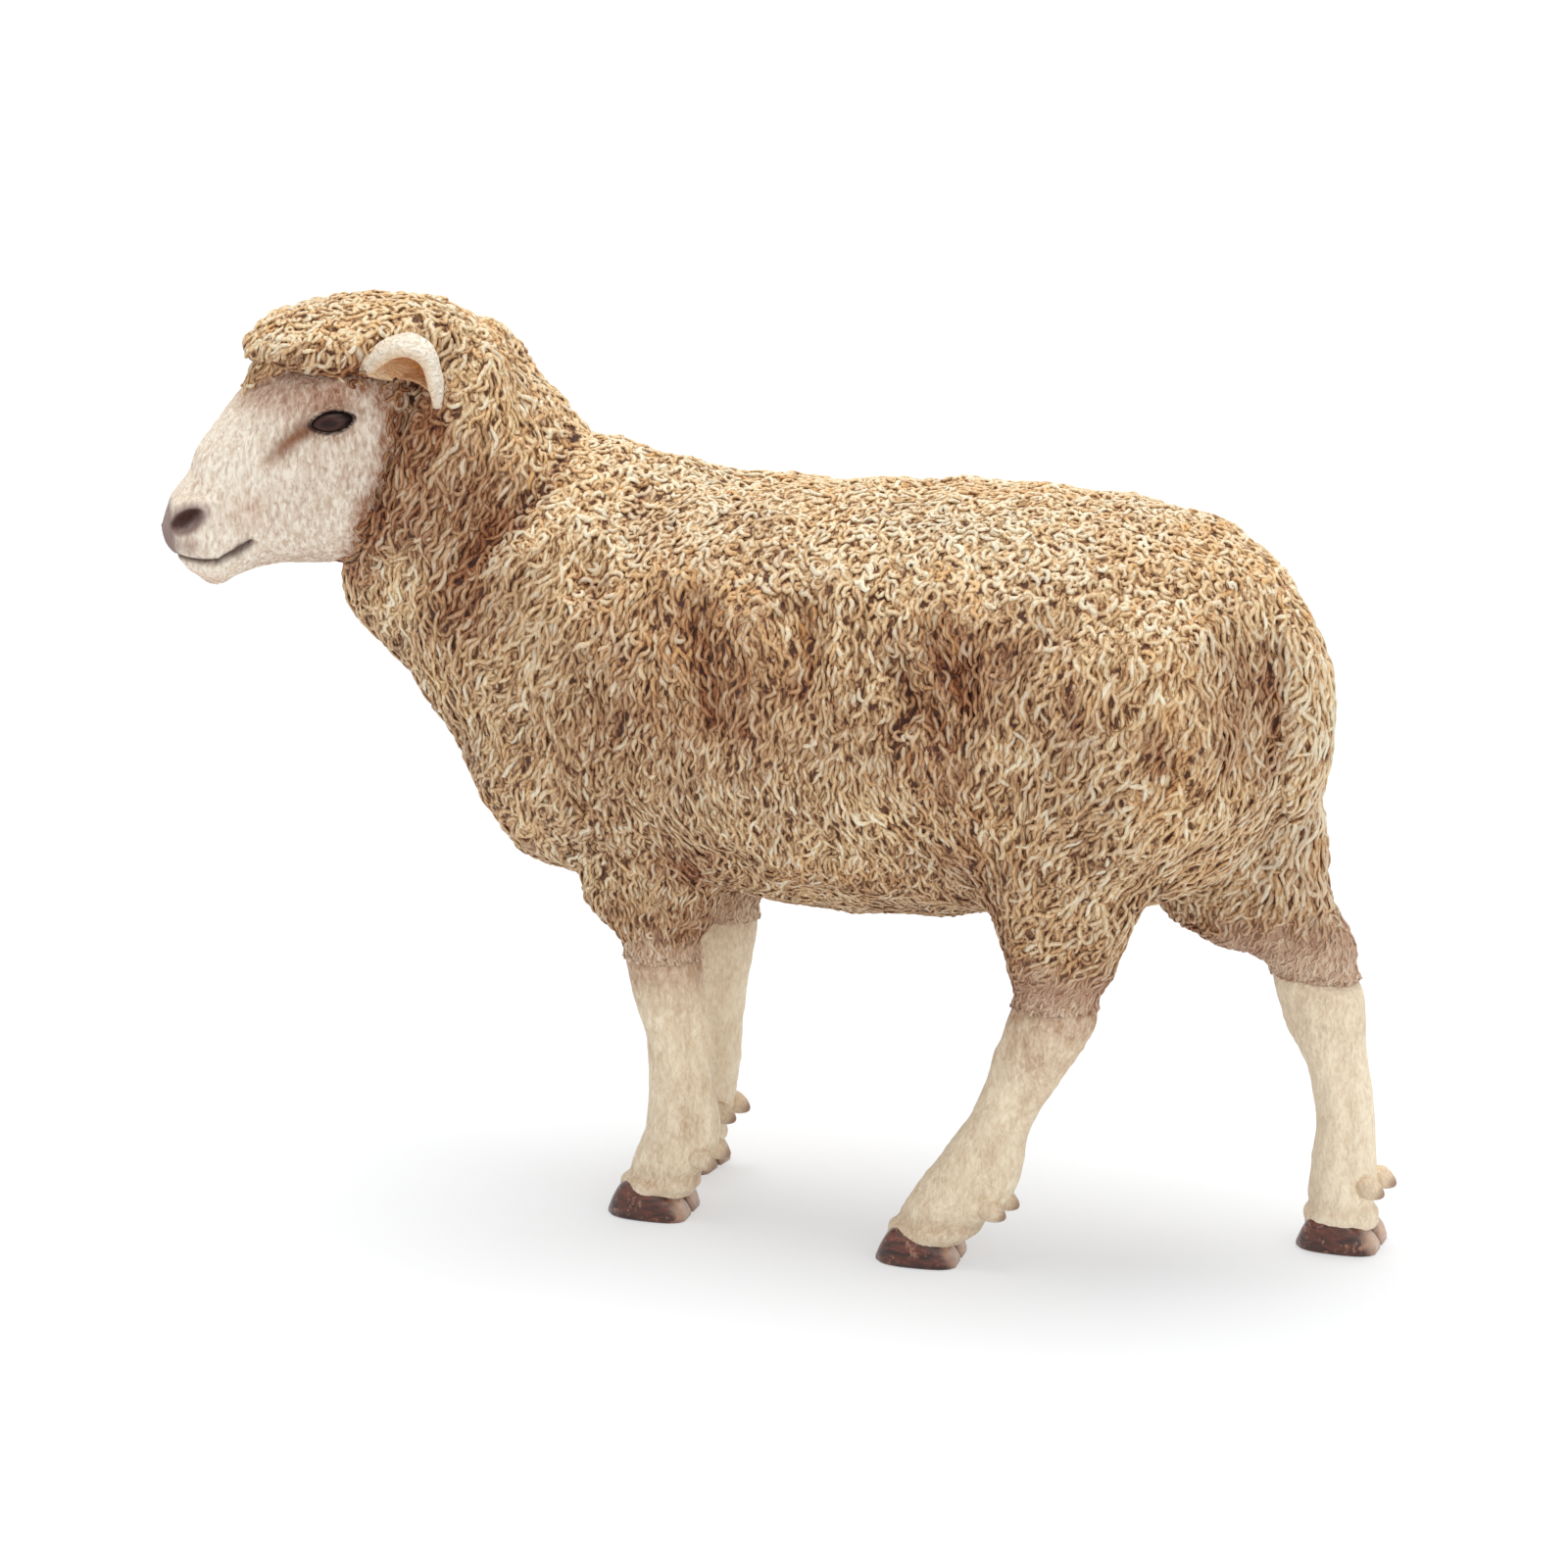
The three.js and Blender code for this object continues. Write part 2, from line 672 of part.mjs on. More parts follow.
// A claw's plate across the foot, from one side to the other of the hoof's middle line.
function clawPlate(from, to, rounding) {
  const plate = new THREE.ExtrudeGeometry(clawOutline(rounding), {
    depth: to - from - 2 * rounding,
    bevelEnabled: rounding > 0,
    bevelSize: rounding,
    bevelThickness: rounding,
    bevelSegments: bevelSteps,
  });
  return plate.rotateX(Math.PI / 2).translate(0, to - rounding, 0);
}

// The foot's own frame, at the middle of the shank's lowest section and turned to its toe.
function footFrame(leg) {
  const [, ahead] = leg.shankShares[0];
  const place = hipOf(leg).add(new THREE.Vector3(bellyHeight * ahead, 0, 0));
  return new THREE.Matrix4().makeRotationZ(degToRad(leg.toeTurn)).setPosition(place);
}

function clawSkin(leg, side) {
  const inner = clawGap / 2;
  const outer = inner + clawWidth;
  const plate = side > 0 ? clawPlate(inner, outer, clawRounding) : clawPlate(-outer, -inner, clawRounding);
  return plate.applyMatrix4(footFrame(leg));
}

// The room that both claws take under the shank.
function clawRoom(leg) {
  const half = clawGap / 2 + clawWidth + fitClearance;
  return clawPlate(-half, half, 0).translate(0, 0, fitClearance).applyMatrix4(footFrame(leg));
}

// Dewclaws: a pair of buds behind the fetlock
const dewclawRow = 2;
const dewclawSpreadShare = 0.32;
const dewclawBackShare = 1.05;

function dewclawSkins(leg) {
  const [up, ahead, long] = leg.shankShares[dewclawRow];
  const back = bellyHeight * ahead - leg.thickness * long * dewclawBackShare;
  return [-1, 1].map((side) => {
    const spread = side * leg.thickness * dewclawSpreadShare;
    const centre = new THREE.Vector3(back, spread, bellyHeight * up).add(hipOf(leg));
    return ball(new THREE.Vector3(dewclawLength, dewclawWidth, dewclawWidth), centre);
  });
}

const shankShape = (leg) => cut(joined([shankSkin(leg), ...dewclawSkins(leg)]), [clawRoom(leg)]);

// The seam between body and neck: a leaning plane across the shoulders
const seamAlongShare = 0.87;
const seamRiseShare = 0.62;
const seamLean = 25;
const seamFrame = new THREE.Matrix4()
  .makeRotationY(-degToRad(seamLean))
  .setPosition(
    rumpPlace + trunkLength * seamAlongShare,
    0,
    bellyHeight + trunkDepth * seamRiseShare,
  );

// A block that reaches past the whole animal on one side of the seam.
function blockBeyondSeam(side, gap) {
  const reach = 2 * (trunkLength + headLength + bellyHeight + trunkDepth);
  return new THREE.BoxGeometry(reach, reach, reach)
    .translate(side * (reach / 2 + gap), 0, 0)
    .applyMatrix4(seamFrame);
}

// The peg that holds the neck in the body, square to the seam.
function shoulderPeg(clearance) {
  const radius = shoulderPegWidth / 2 + clearance;
  const depth = shoulderPegLength + clearance;
  return new THREE.CylinderGeometry(radius, radius, 2 * depth, pegSides)
    .rotateZ(Math.PI / 2)
    .applyMatrix4(seamFrame);
}

const head = headSkin();
const sides = { left: 1, right: -1 };
const ears = Object.values(sides).map(earSkin);
const eyes = Object.values(sides).map(eyeSkin);
const tail = tailSkin();
const shanks = legs.map(shankSkin);
const hollow = (shape) => grown(shape, fitClearance);
const fleece = cut(joined([trunkSkin(), neckSkin(), crownSkin(), ...legs.map(thighSkin)]), [
  ...[head, tail, ...ears, ...shanks].map(hollow),
]);

const animal = new THREE.Group();

function addPiece(name, shape, material) {
  const piece = new THREE.Mesh(shape, material);
  piece.name = name;
  animal.add(piece);
}

const bodySide = common(fleece, blockBeyondSeam(-1, fitClearance / 2));
const neckSide = common(fleece, blockBeyondSeam(1, fitClearance / 2));
addPiece("body_fleece", cut(bodySide, [shoulderPeg(fitClearance)]), materials.fleece);
addPiece("neck_fleece", joined([neckSide, shoulderPeg(0)]), materials.fleece);
addPiece("tail", tail, materials.fleece);
addPiece("head", cut(head, [...eyes, ...ears].map(hollow)), materials.face);
Object.keys(sides).forEach((side, index) => {
  addPiece(side + "_ear", ears[index], materials.ear);
  addPiece(side + "_eye", eyes[index], materials.eye);
});
legs.forEach((leg) => {
  addPiece(leg.name + "_leg", shankShape(leg), materials.shank);
  const outward = Math.sign(leg.asideShare);
  addPiece(leg.name + "_outer_claw", clawSkin(leg, outward), materials.claw);
  addPiece(leg.name + "_inner_claw", clawSkin(leg, -outward), materials.claw);
});

// The origin goes to the middle of the animal's footprint, on the floor.
const extent = new THREE.Box3().setFromObject(animal);
const middle = extent.getCenter(new THREE.Vector3());
animal.position.set(-middle.x, -middle.y, -extent.min.z);

export default new THREE.Group().add(animal);
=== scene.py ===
import math

import bpy
import numpy as np
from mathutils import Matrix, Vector


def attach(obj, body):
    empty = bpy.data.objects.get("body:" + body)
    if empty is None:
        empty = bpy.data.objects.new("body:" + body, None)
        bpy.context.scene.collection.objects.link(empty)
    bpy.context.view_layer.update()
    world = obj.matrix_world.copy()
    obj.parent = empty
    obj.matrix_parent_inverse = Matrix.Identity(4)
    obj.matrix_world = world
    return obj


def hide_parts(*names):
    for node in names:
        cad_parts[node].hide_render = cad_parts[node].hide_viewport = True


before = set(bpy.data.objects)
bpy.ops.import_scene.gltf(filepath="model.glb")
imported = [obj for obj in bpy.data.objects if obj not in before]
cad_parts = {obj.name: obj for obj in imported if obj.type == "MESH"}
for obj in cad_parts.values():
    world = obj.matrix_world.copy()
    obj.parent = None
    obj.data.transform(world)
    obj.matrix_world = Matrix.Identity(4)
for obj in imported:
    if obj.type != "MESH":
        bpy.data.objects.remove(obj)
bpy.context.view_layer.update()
mm = 0.001
origin = np.array([-0.7963, 0.0074, 0.0])  # where the tables of the head, the legs and the tail start
noFaces = np.empty((0, 4), int)
bothSides = (("left", 1), ("right", -1))


def say(stage):
    print("ewe:", stage)


def ease(value, low, high):
    # 3t^2 - 2t^3, where t runs from 0 at low to 1 at high
    t = np.clip((value - low) / (high - low), 0.0, 1.0)
    return t * t * (3 - 2 * t)


def bell(distance, width):
    # exp(-(d/w)^2)
    return np.exp(-((distance / width) ** 2))


def span(rows):
    return np.linalg.norm(rows, axis=-1)


def unit(rows):
    return rows / np.maximum(span(rows), 1e-9)[..., None]


def xyz(x, y, z):
    return np.stack(np.broadcast_arrays(x, y, z), -1)


def turnAbout(axis, degrees):
    # a turn by an angle about one axis: 0 ahead, 1 aside, 2 up
    angle = math.radians(degrees)
    first, second = [(1, 2), (2, 0), (0, 1)][axis]
    matrix = np.eye(3)
    matrix[first, first] = matrix[second, second] = math.cos(angle)
    matrix[first, second] = -math.sin(angle)
    matrix[second, first] = math.sin(angle)
    return matrix


def latticeNumber(cells, seed):
    # a number from 0 to 1 for each whole-number cell, mixed from its three places and the seed
    mixed = cells[..., 0] * 73856093 ^ cells[..., 1] * 19349663 ^ cells[..., 2] * 83492791
    mixed = (mixed ^ (seed * 668265263)) & 0x7FFFFFFF
    mixed = (mixed ^ (mixed >> 13)) * 1274126177 & 0x7FFFFFFF
    mixed = (mixed ^ (mixed >> 11)) * 1103515245 & 0x7FFFFFFF
    return ((mixed >> 8) & 0xFFFF) / 65535.0


def noise(points, cell, seed):
    # random numbers on a lattice, blended between its corners by 3t^2 - 2t^3, from -1 to 1
    places = points / np.asarray(cell)
    base = np.floor(places).astype(np.int64)
    t = places - base
    t = t * t * (3 - 2 * t)
    total = np.zeros(points.shape[:-1])
    for corner in range(8):
        offset = np.array([corner & 1, corner >> 1 & 1, corner >> 2 & 1])
        weight = np.prod(np.where(offset == 1, t, 1 - t), axis=-1)
        total += weight * latticeNumber(base + offset, seed)
    return 2 * total - 1


def along(rows, places):
    # a cubic through the rows of a table, whose slope at a row is that of the line between its neighbours
    rows = np.array(rows, float)
    x, y = rows[:, 0], rows[:, 1:]
    last = len(x) - 1
    before = np.maximum(np.arange(last + 1) - 1, 0)
    after = np.minimum(np.arange(last + 1) + 1, last)
    slope = (y[after] - y[before]) / (x[after] - x[before])[:, None]
    i = np.clip(np.searchsorted(x, places, side="right") - 1, 0, last - 1)
    gap = (x[i + 1] - x[i])[:, None]
    t = ((places - x[i]) / gap[:, 0])[:, None]
    rise = y[i] * (2 * t**3 - 3 * t**2 + 1) + y[i + 1] * (3 * t**2 - 2 * t**3)
    return rise + gap * (slope[i] * (t**3 - 2 * t**2 + t) + slope[i + 1] * (t**3 - t**2))


def awayFrom(flat, line):
    # distance in a plane to a row of straight stretches, the least of the distances to each
    best = np.full(flat.shape[:-1], 1e9)
    for start, end in zip(np.array(line[:-1], float), np.array(line[1:], float)):
        run = end - start
        t = np.clip(((flat - start) @ run) / (run @ run), 0, 1)
        best = np.minimum(best, span(flat - start - t[..., None] * run))
    return best


def onceRound(sides):
    return np.arange(sides) / sides * 2 * math.pi


def wave(angle, squareness):
    # sign(cos a) |cos a|^(2/n): an oval that nears a rounded rectangle as n grows
    return np.sign(np.cos(angle)) * np.abs(np.cos(angle)) ** (2 / squareness)


def ovals(centre, across, upward, sides, squareness=2.0):
    # centre + across * wave(a) + upward * wave(a - 90 degrees), for a going once round
    angle = onceRound(sides)
    first = wave(angle, squareness)[None, :, None]
    second = wave(angle - math.pi / 2, squareness)[None, :, None]
    return centre[:, None] + across[:, None] * first + upward[:, None] * second


def ringFaces(rings, sides):
    # quads between neighbouring rings and a fan over each end, whose poles are the last two points
    ring, side = np.meshgrid(np.arange(rings - 1), np.arange(sides), indexing="ij")
    near = ring * sides + side
    nearNext = ring * sides + (side + 1) % sides
    quads = np.stack([near, nearNext, nearNext + sides, near + sides], -1).reshape(-1, 4)
    side = np.arange(sides)
    nextSide = (side + 1) % sides
    pole = rings * sides
    start = np.stack([np.full(sides, pole), nextSide, side], -1)
    end = np.stack([np.full(sides, pole + 1), pole - sides + side, pole - sides + nextSide], -1)
    return quads, np.concatenate([start, end])


def withPoles(rings):
    # rings of points as one list, with the middle of the first and of the last ring at its end
    return np.concatenate([rings.reshape(-1, 3), rings[0].mean(0)[None], rings[-1].mean(0)[None]])


def split(quads, triangles):
    return np.concatenate([quads[:, [0, 1, 2]], quads[:, [0, 2, 3]], triangles])


def facingOut(points, quads, triangles):
    # turned round where the sum of a . (b x c) over the triangles is negative
    a, b, c = (points[split(quads, triangles)[:, corner]] for corner in range(3))
    if np.einsum("ij,ij->", a, np.cross(b, c)) < 0:
        return quads[:, ::-1], triangles[:, ::-1]
    return quads, triangles


def skinned(rings):
    # points, quads and triangles of a skin over rings of points, closed at both ends
    points = withPoles(rings)
    return points, *facingOut(points, *ringFaces(*rings.shape[:2]))


def normalsOf(points, triangles):
    # the sum of the cross products of the triangles round a point, made one long
    a, b, c = (points[triangles[:, corner]] for corner in range(3))
    cross = np.cross(b - a, c - a)
    places = triangles.ravel()
    parts = [np.bincount(places, np.repeat(cross[:, axis], 3), len(points)) for axis in range(3)]
    return unit(np.stack(parts, -1))


def makeMesh(name, points, quads, triangles, values=None):
    mesh = bpy.data.meshes.new(name)
    mesh.vertices.add(len(points))
    mesh.vertices.foreach_set("co", (np.asarray(points) * mm).ravel())
    corners = np.concatenate([quads.ravel(), triangles.ravel()])
    lengths = np.repeat([4, 3], [len(quads), len(triangles)])
    mesh.loops.add(len(corners))
    mesh.loops.foreach_set("vertex_index", corners.astype(np.int32))
    mesh.polygons.add(len(lengths))
    mesh.polygons.foreach_set("loop_start", (np.cumsum(lengths) - lengths).astype(np.int32))
    mesh.update(calc_edges=True)
    for key, value in (values or {}).items():
        layer = mesh.attributes.new(key, "FLOAT", "POINT")
        layer.data.foreach_set("value", np.asarray(value, np.float32).ravel())
    mesh.shade_smooth()
    piece = bpy.data.objects.new(name, mesh)
    bpy.context.scene.collection.objects.link(piece)
    return piece


def addPiece(name, shape, material, nodes, values):
    points, quads, triangles = shape
    piece = makeMesh(name, points, *facingOut(points, quads, triangles), values)
    piece.data.materials.append(material)
    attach(piece, "root")
    if nodes:
        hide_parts(*nodes)
    return piece


def shapeOf(mesh):
    # a mesh as points and triangles
    mesh.calc_loop_triangles()
    points = np.empty(len(mesh.vertices) * 3)
    mesh.vertices.foreach_get("co", points)
    triangles = np.empty(len(mesh.loop_triangles) * 3, np.int32)
    mesh.loop_triangles.foreach_get("vertices", triangles)
    return points.reshape(-1, 3) / mm, triangles.reshape(-1, 3)


def nodeShape(name):
    # a merged copy of a CAD node: points that share a place become one
    points, triangles = shapeOf(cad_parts[name].data)
    _, first, place = np.unique(np.round(points, 3), axis=0, return_index=True, return_inverse=True)
    triangles = place.reshape(-1)[triangles]
    distinct = (triangles != np.roll(triangles, 1, axis=1)).all(axis=1)
    return points[first], triangles[distinct]


def joined(shapes):
    # several shapes as one list of points, no quads, and triangles
    starts = np.cumsum([0] + [len(points) for points, _ in shapes[:-1]])
    triangles = [faces + start for (_, faces), start in zip(shapes, starts)]
    return np.concatenate([points for points, _ in shapes]), noFaces, np.concatenate(triangles)


def evaluated(piece):
    # what a piece's modifiers make of it; the piece itself goes
    shape = shapeOf(piece.evaluated_get(bpy.context.evaluated_depsgraph_get()).to_mesh())
    bpy.data.objects.remove(piece)
    return shape


def ontoSurface(points, target):
    # each point's nearest place on the target
    cloud = makeMesh("cloud", points, noFaces, noFaces)
    wrap = cloud.modifiers.new("wrap", "SHRINKWRAP")
    wrap.target = target
    wrap.wrap_method = "NEAREST_SURFACEPOINT"
    return evaluated(cloud)[0]


def gapTo(points, target):
    return span(points - ontoSurface(points, target))


def node(tree, kind, inputs=None, **settings):
    made = tree.nodes.new(kind)
    for key, value in settings.items():
        setattr(made, key, value)
    for key, value in (inputs or {}).items():
        if isinstance(value, bpy.types.NodeSocket):
            tree.links.new(value, made.inputs[key])
        else:
            made.inputs[key].default_value = value
    return made


def mathNode(tree, operation, *values, clamp=False):
    inputs = dict(enumerate(values))
    return node(tree, "ShaderNodeMath", inputs, operation=operation, use_clamp=clamp).outputs[0]


def product(tree, first, second, clamp=False):
    return mathNode(tree, "MULTIPLY", first, second, clamp=clamp)


def scaled(tree, value, by, plus, clamp=False):
    # value * by + plus
    return mathNode(tree, "MULTIPLY_ADD", value, by, plus, clamp=clamp)


# Camera, lamps and floor
photoView = {
    "azimuth": 202,
    "elevation": 16.5,
    "aim": (-0.7963, 2.2, 34.3),
    "distance": 700,
    "lens": 212.6,
    "sensor": 36,
    "nearest": 0.01,  # metres
    "world": 0.5,
    "lamps": {  # where each shines from, its strength, its spread in degrees and its colour
        "softbox": ((0.1, -0.12, 0.98), 2.4, 50, (1.0, 0.98, 0.94)),
        "fill": ((-0.7, 0.65, 0.25), 0.9, 70, (0.98, 0.985, 1.0)),
    },
    "floorReach": 4000,
    "floorColour": (0.84, 0.865, 0.895),
    "floorGlow": 1.12,
    "floorSeen": 0.6,  # share of its shading that the floor shows to the camera; the rest is its own white
}


def setCamera(view):
    turn = math.radians(view["azimuth"])
    tilt = math.radians(view["elevation"])
    back = Vector((math.sin(turn) * math.cos(tilt), -math.cos(turn) * math.cos(tilt), math.sin(tilt)))
    camera = bpy.data.objects.new("camera", bpy.data.cameras.new("camera"))
    camera.location = (Vector(view["aim"]) + back * view["distance"]) * mm
    camera.rotation_euler = back.to_track_quat("Z", "Y").to_euler()
    camera.data.lens = view["lens"]
    camera.data.sensor_width = view["sensor"]
    camera.data.clip_start = view["nearest"]
    bpy.context.scene.collection.objects.link(camera)
    bpy.context.scene.camera = camera


def seenDirectly(tree):
    # 1 for rays from the camera, off gloss or through glass
    path = node(tree, "ShaderNodeLightPath").outputs
    seen = mathNode(tree, "MAXIMUM", path["Is Camera Ray"], path["Is Glossy Ray"])
    return mathNode(tree, "MAXIMUM", seen, path["Is Transmission Ray"])


def setLight(view):
    world = bpy.data.worlds.new("studio")
    world.use_nodes = True
    tree = world.node_tree
    tree.nodes.clear()
    room = node(tree, "ShaderNodeBackground", {"Color": (0.97, 0.985, 1, 1), "Strength": view["world"]})
    backdrop = node(tree, "ShaderNodeBackground", {"Color": (1, 1, 1, 1), "Strength": 1.0})
    seen = seenDirectly(tree)
    mix = node(tree, "ShaderNodeMixShader", {0: seen, 1: room.outputs[0], 2: backdrop.outputs[0]})
    node(tree, "ShaderNodeOutputWorld", {"Surface": mix.outputs[0]})
    bpy.context.scene.world = world
    for name, (shinesFrom, strength, spread, colour) in view["lamps"].items():
        lamp = bpy.data.objects.new(name, bpy.data.lights.new(name, "SUN"))
        lamp.data.energy = strength
        lamp.data.angle = math.radians(spread)
        lamp.data.color = colour
        lamp.rotation_euler = Vector(shinesFrom).to_track_quat("Z", "Y").to_euler()
        bpy.context.scene.collection.objects.link(lamp)


def layFloor(view):
    corners = np.array([[-1, -1, 0], [1, -1, 0], [1, 1, 0], [-1, 1, 0]]) * view["floorReach"]
    floor = makeMesh("floor", corners, np.array([[0, 1, 2, 3]]), noFaces)
    material = bpy.data.materials.new("floor")
    material.use_nodes = True
    tree = material.node_tree
    tree.nodes.clear()
    matt = node(tree, "ShaderNodeBsdfDiffuse", {"Color": (*view["floorColour"], 1)})
    glow = node(tree, "ShaderNodeEmission", {"Strength": view["floorGlow"]})
    pale = node(tree, "ShaderNodeMixShader", {0: view["floorSeen"], 1: glow.outputs[0], 2: matt.outputs[0]})
    seen = node(tree, "ShaderNodeMixShader", {0: seenDirectly(tree), 1: matt.outputs[0], 2: pale.outputs[0]})
    node(tree, "ShaderNodeOutputMaterial", {"Surface": seen.outputs[0]})
    floor.data.materials.append(material)


bpy.context.scene.view_settings.view_transform = "Standard"
setCamera(photoView)
setLight(photoView)
layFloor(photoView)
say("camera, light and floor")


# Paint
def paint(red, green, blue):
    # a colour as it looks on a screen, 0 to 255, made linear
    parts = np.array([red, green, blue]) / 255
    linear = np.where(parts <= 0.04045, parts / 12.92, ((parts + 0.055) / 1.055) ** 2.4)
    return (*[float(part) for part in linear], 1.0)


def newGroup(name, inputs, outputs):
    group = bpy.data.node_groups.new(name, "ShaderNodeTree")
    for title, kind, value in inputs:
        socket = group.interface.new_socket(title, in_out="INPUT", socket_type=kind)
        socket.default_value = value
    for title, kind in outputs:
        group.interface.new_socket(title, in_out="OUTPUT", socket_type=kind)
    return group, group.nodes.new("NodeGroupInput"), group.nodes.new("NodeGroupOutput")


def blend(tree, factor, first, second, kind="MIX"):
    inputs = {0: factor, 6: first, 7: second}
    return node(tree, "ShaderNodeMix", inputs, data_type="RGBA", blend_type=kind).outputs[2]


def rampNode(tree, factor, stops):
    ramp = node(tree, "ShaderNodeValToRGB", {0: factor})
    elements = ramp.color_ramp.elements
    while len(elements) < len(stops):
        elements.new(0.5)
    for element, (place, colour) in zip(elements, stops):
        element.position = place
        element.color = colour
    return ramp.outputs[0]


def fineHairGroup():
    # short moulded hairs: noise drawn out along one direction, and speckle over it
    group, given, out = newGroup(
        "fineHair",
        [("Stretch", "NodeSocketVector", (1, 1, 1)), ("Size", "NodeSocketFloat", 1.0)],
        [("Hair", "NodeSocketFloat"), ("Speckle", "NodeSocketFloat")],
    )
    place = node(group, "ShaderNodeTexCoord").outputs["Object"]
    drawn = node(group, "ShaderNodeMapping", {"Vector": place, "Scale": given.outputs["Stretch"]})
    hair = node(group, "ShaderNodeTexNoise", {
        "Vector": drawn.outputs[0], "Scale": given.outputs["Size"], "Detail": 3.0, "Distortion": 0.6,
    })
    speckle = node(group, "ShaderNodeTexNoise", {"Vector": place, "Scale": 900.0, "Detail": 4.0})
    group.links.new(hair.outputs[0], out.inputs["Hair"])
    group.links.new(speckle.outputs[0], out.inputs["Speckle"])
    return group


def washAndShadeGroup():
    # a brown tint laid over a colour by its own mask, by how low a point is and by a cloudy noise: brown
    # wash and painted shade
    group, given, out = newGroup(
        "brownWashAndShade",
        [("Colour", "NodeSocketColor", (1, 1, 1, 1)), ("WashAndShade", "NodeSocketFloat", 0.0),
         ("Height", "NodeSocketFloat", 1.0), ("StainAndShade", "NodeSocketColor", (0.2, 0.1, 0.05, 1))],
        [("Colour", "NodeSocketColor")],
    )
    place = node(group, "ShaderNodeTexCoord").outputs["Object"]
    cloud = node(group, "ShaderNodeTexNoise", {"Vector": place, "Scale": 420.0, "Detail": 3.0})
    low = scaled(group, given.outputs["Height"], -0.6, 1.25)
    patchy = scaled(group, cloud.outputs[0], 0.9, 0.55)
    mask = product(group, given.outputs["WashAndShade"], low)
    mask = product(group, mask, patchy, clamp=True)
    colour = blend(group, mask, given.outputs["Colour"], given.outputs["StainAndShade"], "MULTIPLY")
    group.links.new(colour, out.inputs["Colour"])
    return group


fineHair = fineHairGroup()
brownWashAndShade = washAndShadeGroup()


def attribute(tree, name):
    return node(tree, "ShaderNodeAttribute", attribute_name=name).outputs["Fac"]


def hairsOf(tree, stretch, size):
    placed = node(tree, "ShaderNodeGroup", {"Stretch": stretch, "Size": size}, node_tree=fineHair)
    return placed.outputs["Hair"], placed.outputs["Speckle"]


def washedAndShaded(tree, colour, height, stainAndShade):
    inputs = {"Colour": colour, "WashAndShade": attribute(tree, "wash"), "Height": height, "StainAndShade": stainAndShade}
    return node(tree, "ShaderNodeGroup", inputs, node_tree=brownWashAndShade).outputs["Colour"]


def startMaterial(name):
    material = bpy.data.materials.new(name)
    material.use_nodes = True
    return material, material.node_tree, material.node_tree.nodes["Principled BSDF"]


def dress(tree, shader, colour, roughness, relief, depth):
    # the shader takes a colour, a roughness and a relief of so many millimetres
    bump = node(tree, "ShaderNodeBump", {"Height": relief, "Distance": depth * mm, "Strength": 1.0})
    for key, socket in (("Base Color", colour), ("Roughness", roughness), ("Normal", bump.outputs[0])):
        tree.links.new(socket, shader.inputs[key])


woolPaint = {
    "stops": [
        (0.0, paint(90, 54, 32)),
        (0.2, paint(142, 98, 62)),
        (0.45, paint(206, 166, 120)),
        (0.72, paint(242, 211, 164)),
        (1.0, paint(255, 245, 218)),
    ],
    "stainAndShade": paint(172, 130, 108),
    "grey": paint(190, 172, 162),
    "gold": paint(238, 196, 130),
    "shortLow": paint(206, 168, 138),
    "shortHigh": paint(252, 230, 204),
    "roughness": 0.56,
}


def woolMaterial(look):
    material, tree, shader = startMaterial("wool")
    hair, speckle = hairsOf(tree, (1.0, 1.0, 0.5), 3400.0)
    strands, _ = hairsOf(tree, (1.0, 1.0, 0.4), 2300.0)
    height = attribute(tree, "height")
    rough = scaled(tree, hair, 1.3, -0.65)
    grain = scaled(tree, speckle, 0.6, -0.3)
    between = scaled(tree, strands, 3.4, -1.7)
    between = product(tree, between, attribute(tree, "between"))
    lifted = mathNode(tree, "ADD", mathNode(tree, "ADD", height, rough), grain)
    lifted = mathNode(tree, "ADD", lifted, between, clamp=True)
    colour = rampNode(tree, lifted, look["stops"])
    toneAndTopLight = attribute(tree, "toneAndTopLight")
    # gold where toneAndTopLight is high, grey where it is low: random tone, and painted light warmer on top
    for strength, tint in ((0.7, "gold"), (-0.6, "grey")):
        colour = blend(tree, product(tree, toneAndTopLight, strength, clamp=True), colour, look[tint], "MULTIPLY")
    grainy = scaled(tree, strands, 2.4, -0.7, clamp=True)
    shortHair = blend(tree, grainy, look["shortLow"], look["shortHigh"])
    colour = blend(tree, attribute(tree, "bare"), colour, shortHair)
    colour = washedAndShaded(tree, colour, height, look["stainAndShade"])
    roughness = scaled(tree, speckle, 0.25, look["roughness"] - 0.12)
    relief = scaled(tree, between, 0.5, hair)
    dress(tree, shader, colour, roughness, relief, 0.3)
    shader.inputs["Specular IOR Level"].default_value = 0.4
    return material


wool = woolMaterial(woolPaint)
say("paints")

# Bare shapes that the wool closes round: the head and the four shanks, by the same tables as the solids
headBuild = {
    "root": (27.56, 1.9, 57.82),
    "turn": 28,
    "length": 22,
    "depth": 17,
    "width": 13,
    "squareness": 2.5,
    "capAhead": (6.5, 9.0),  # from nothing to all of the cap of wool, ahead of the head's root
    "rows": [  # step, top ahead and up, jaw ahead and up, half width
        [0, 0, 0.235, 0, -0.18, 0.26], [1, 0.11, 0.42, 0.13, -0.36, 0.4],
        [2, 0.27, 0.52, 0.27, -0.46, 0.455], [3, 0.455, 0.5, 0.41, -0.49, 0.47],
        [4, 0.6, 0.41, 0.525, -0.49, 0.425], [5, 0.725, 0.22, 0.635, -0.49, 0.36],
        [6, 0.825, 0.04, 0.735, -0.51, 0.305], [7, 0.91, -0.13, 0.825, -0.55, 0.28],
        [8, 0.96, -0.235, 0.89, -0.56, 0.235], [9, 0.99, -0.32, 0.95, -0.51, 0.15],
    ],
}
headAxes = turnAbout(2, -headBuild["turn"])
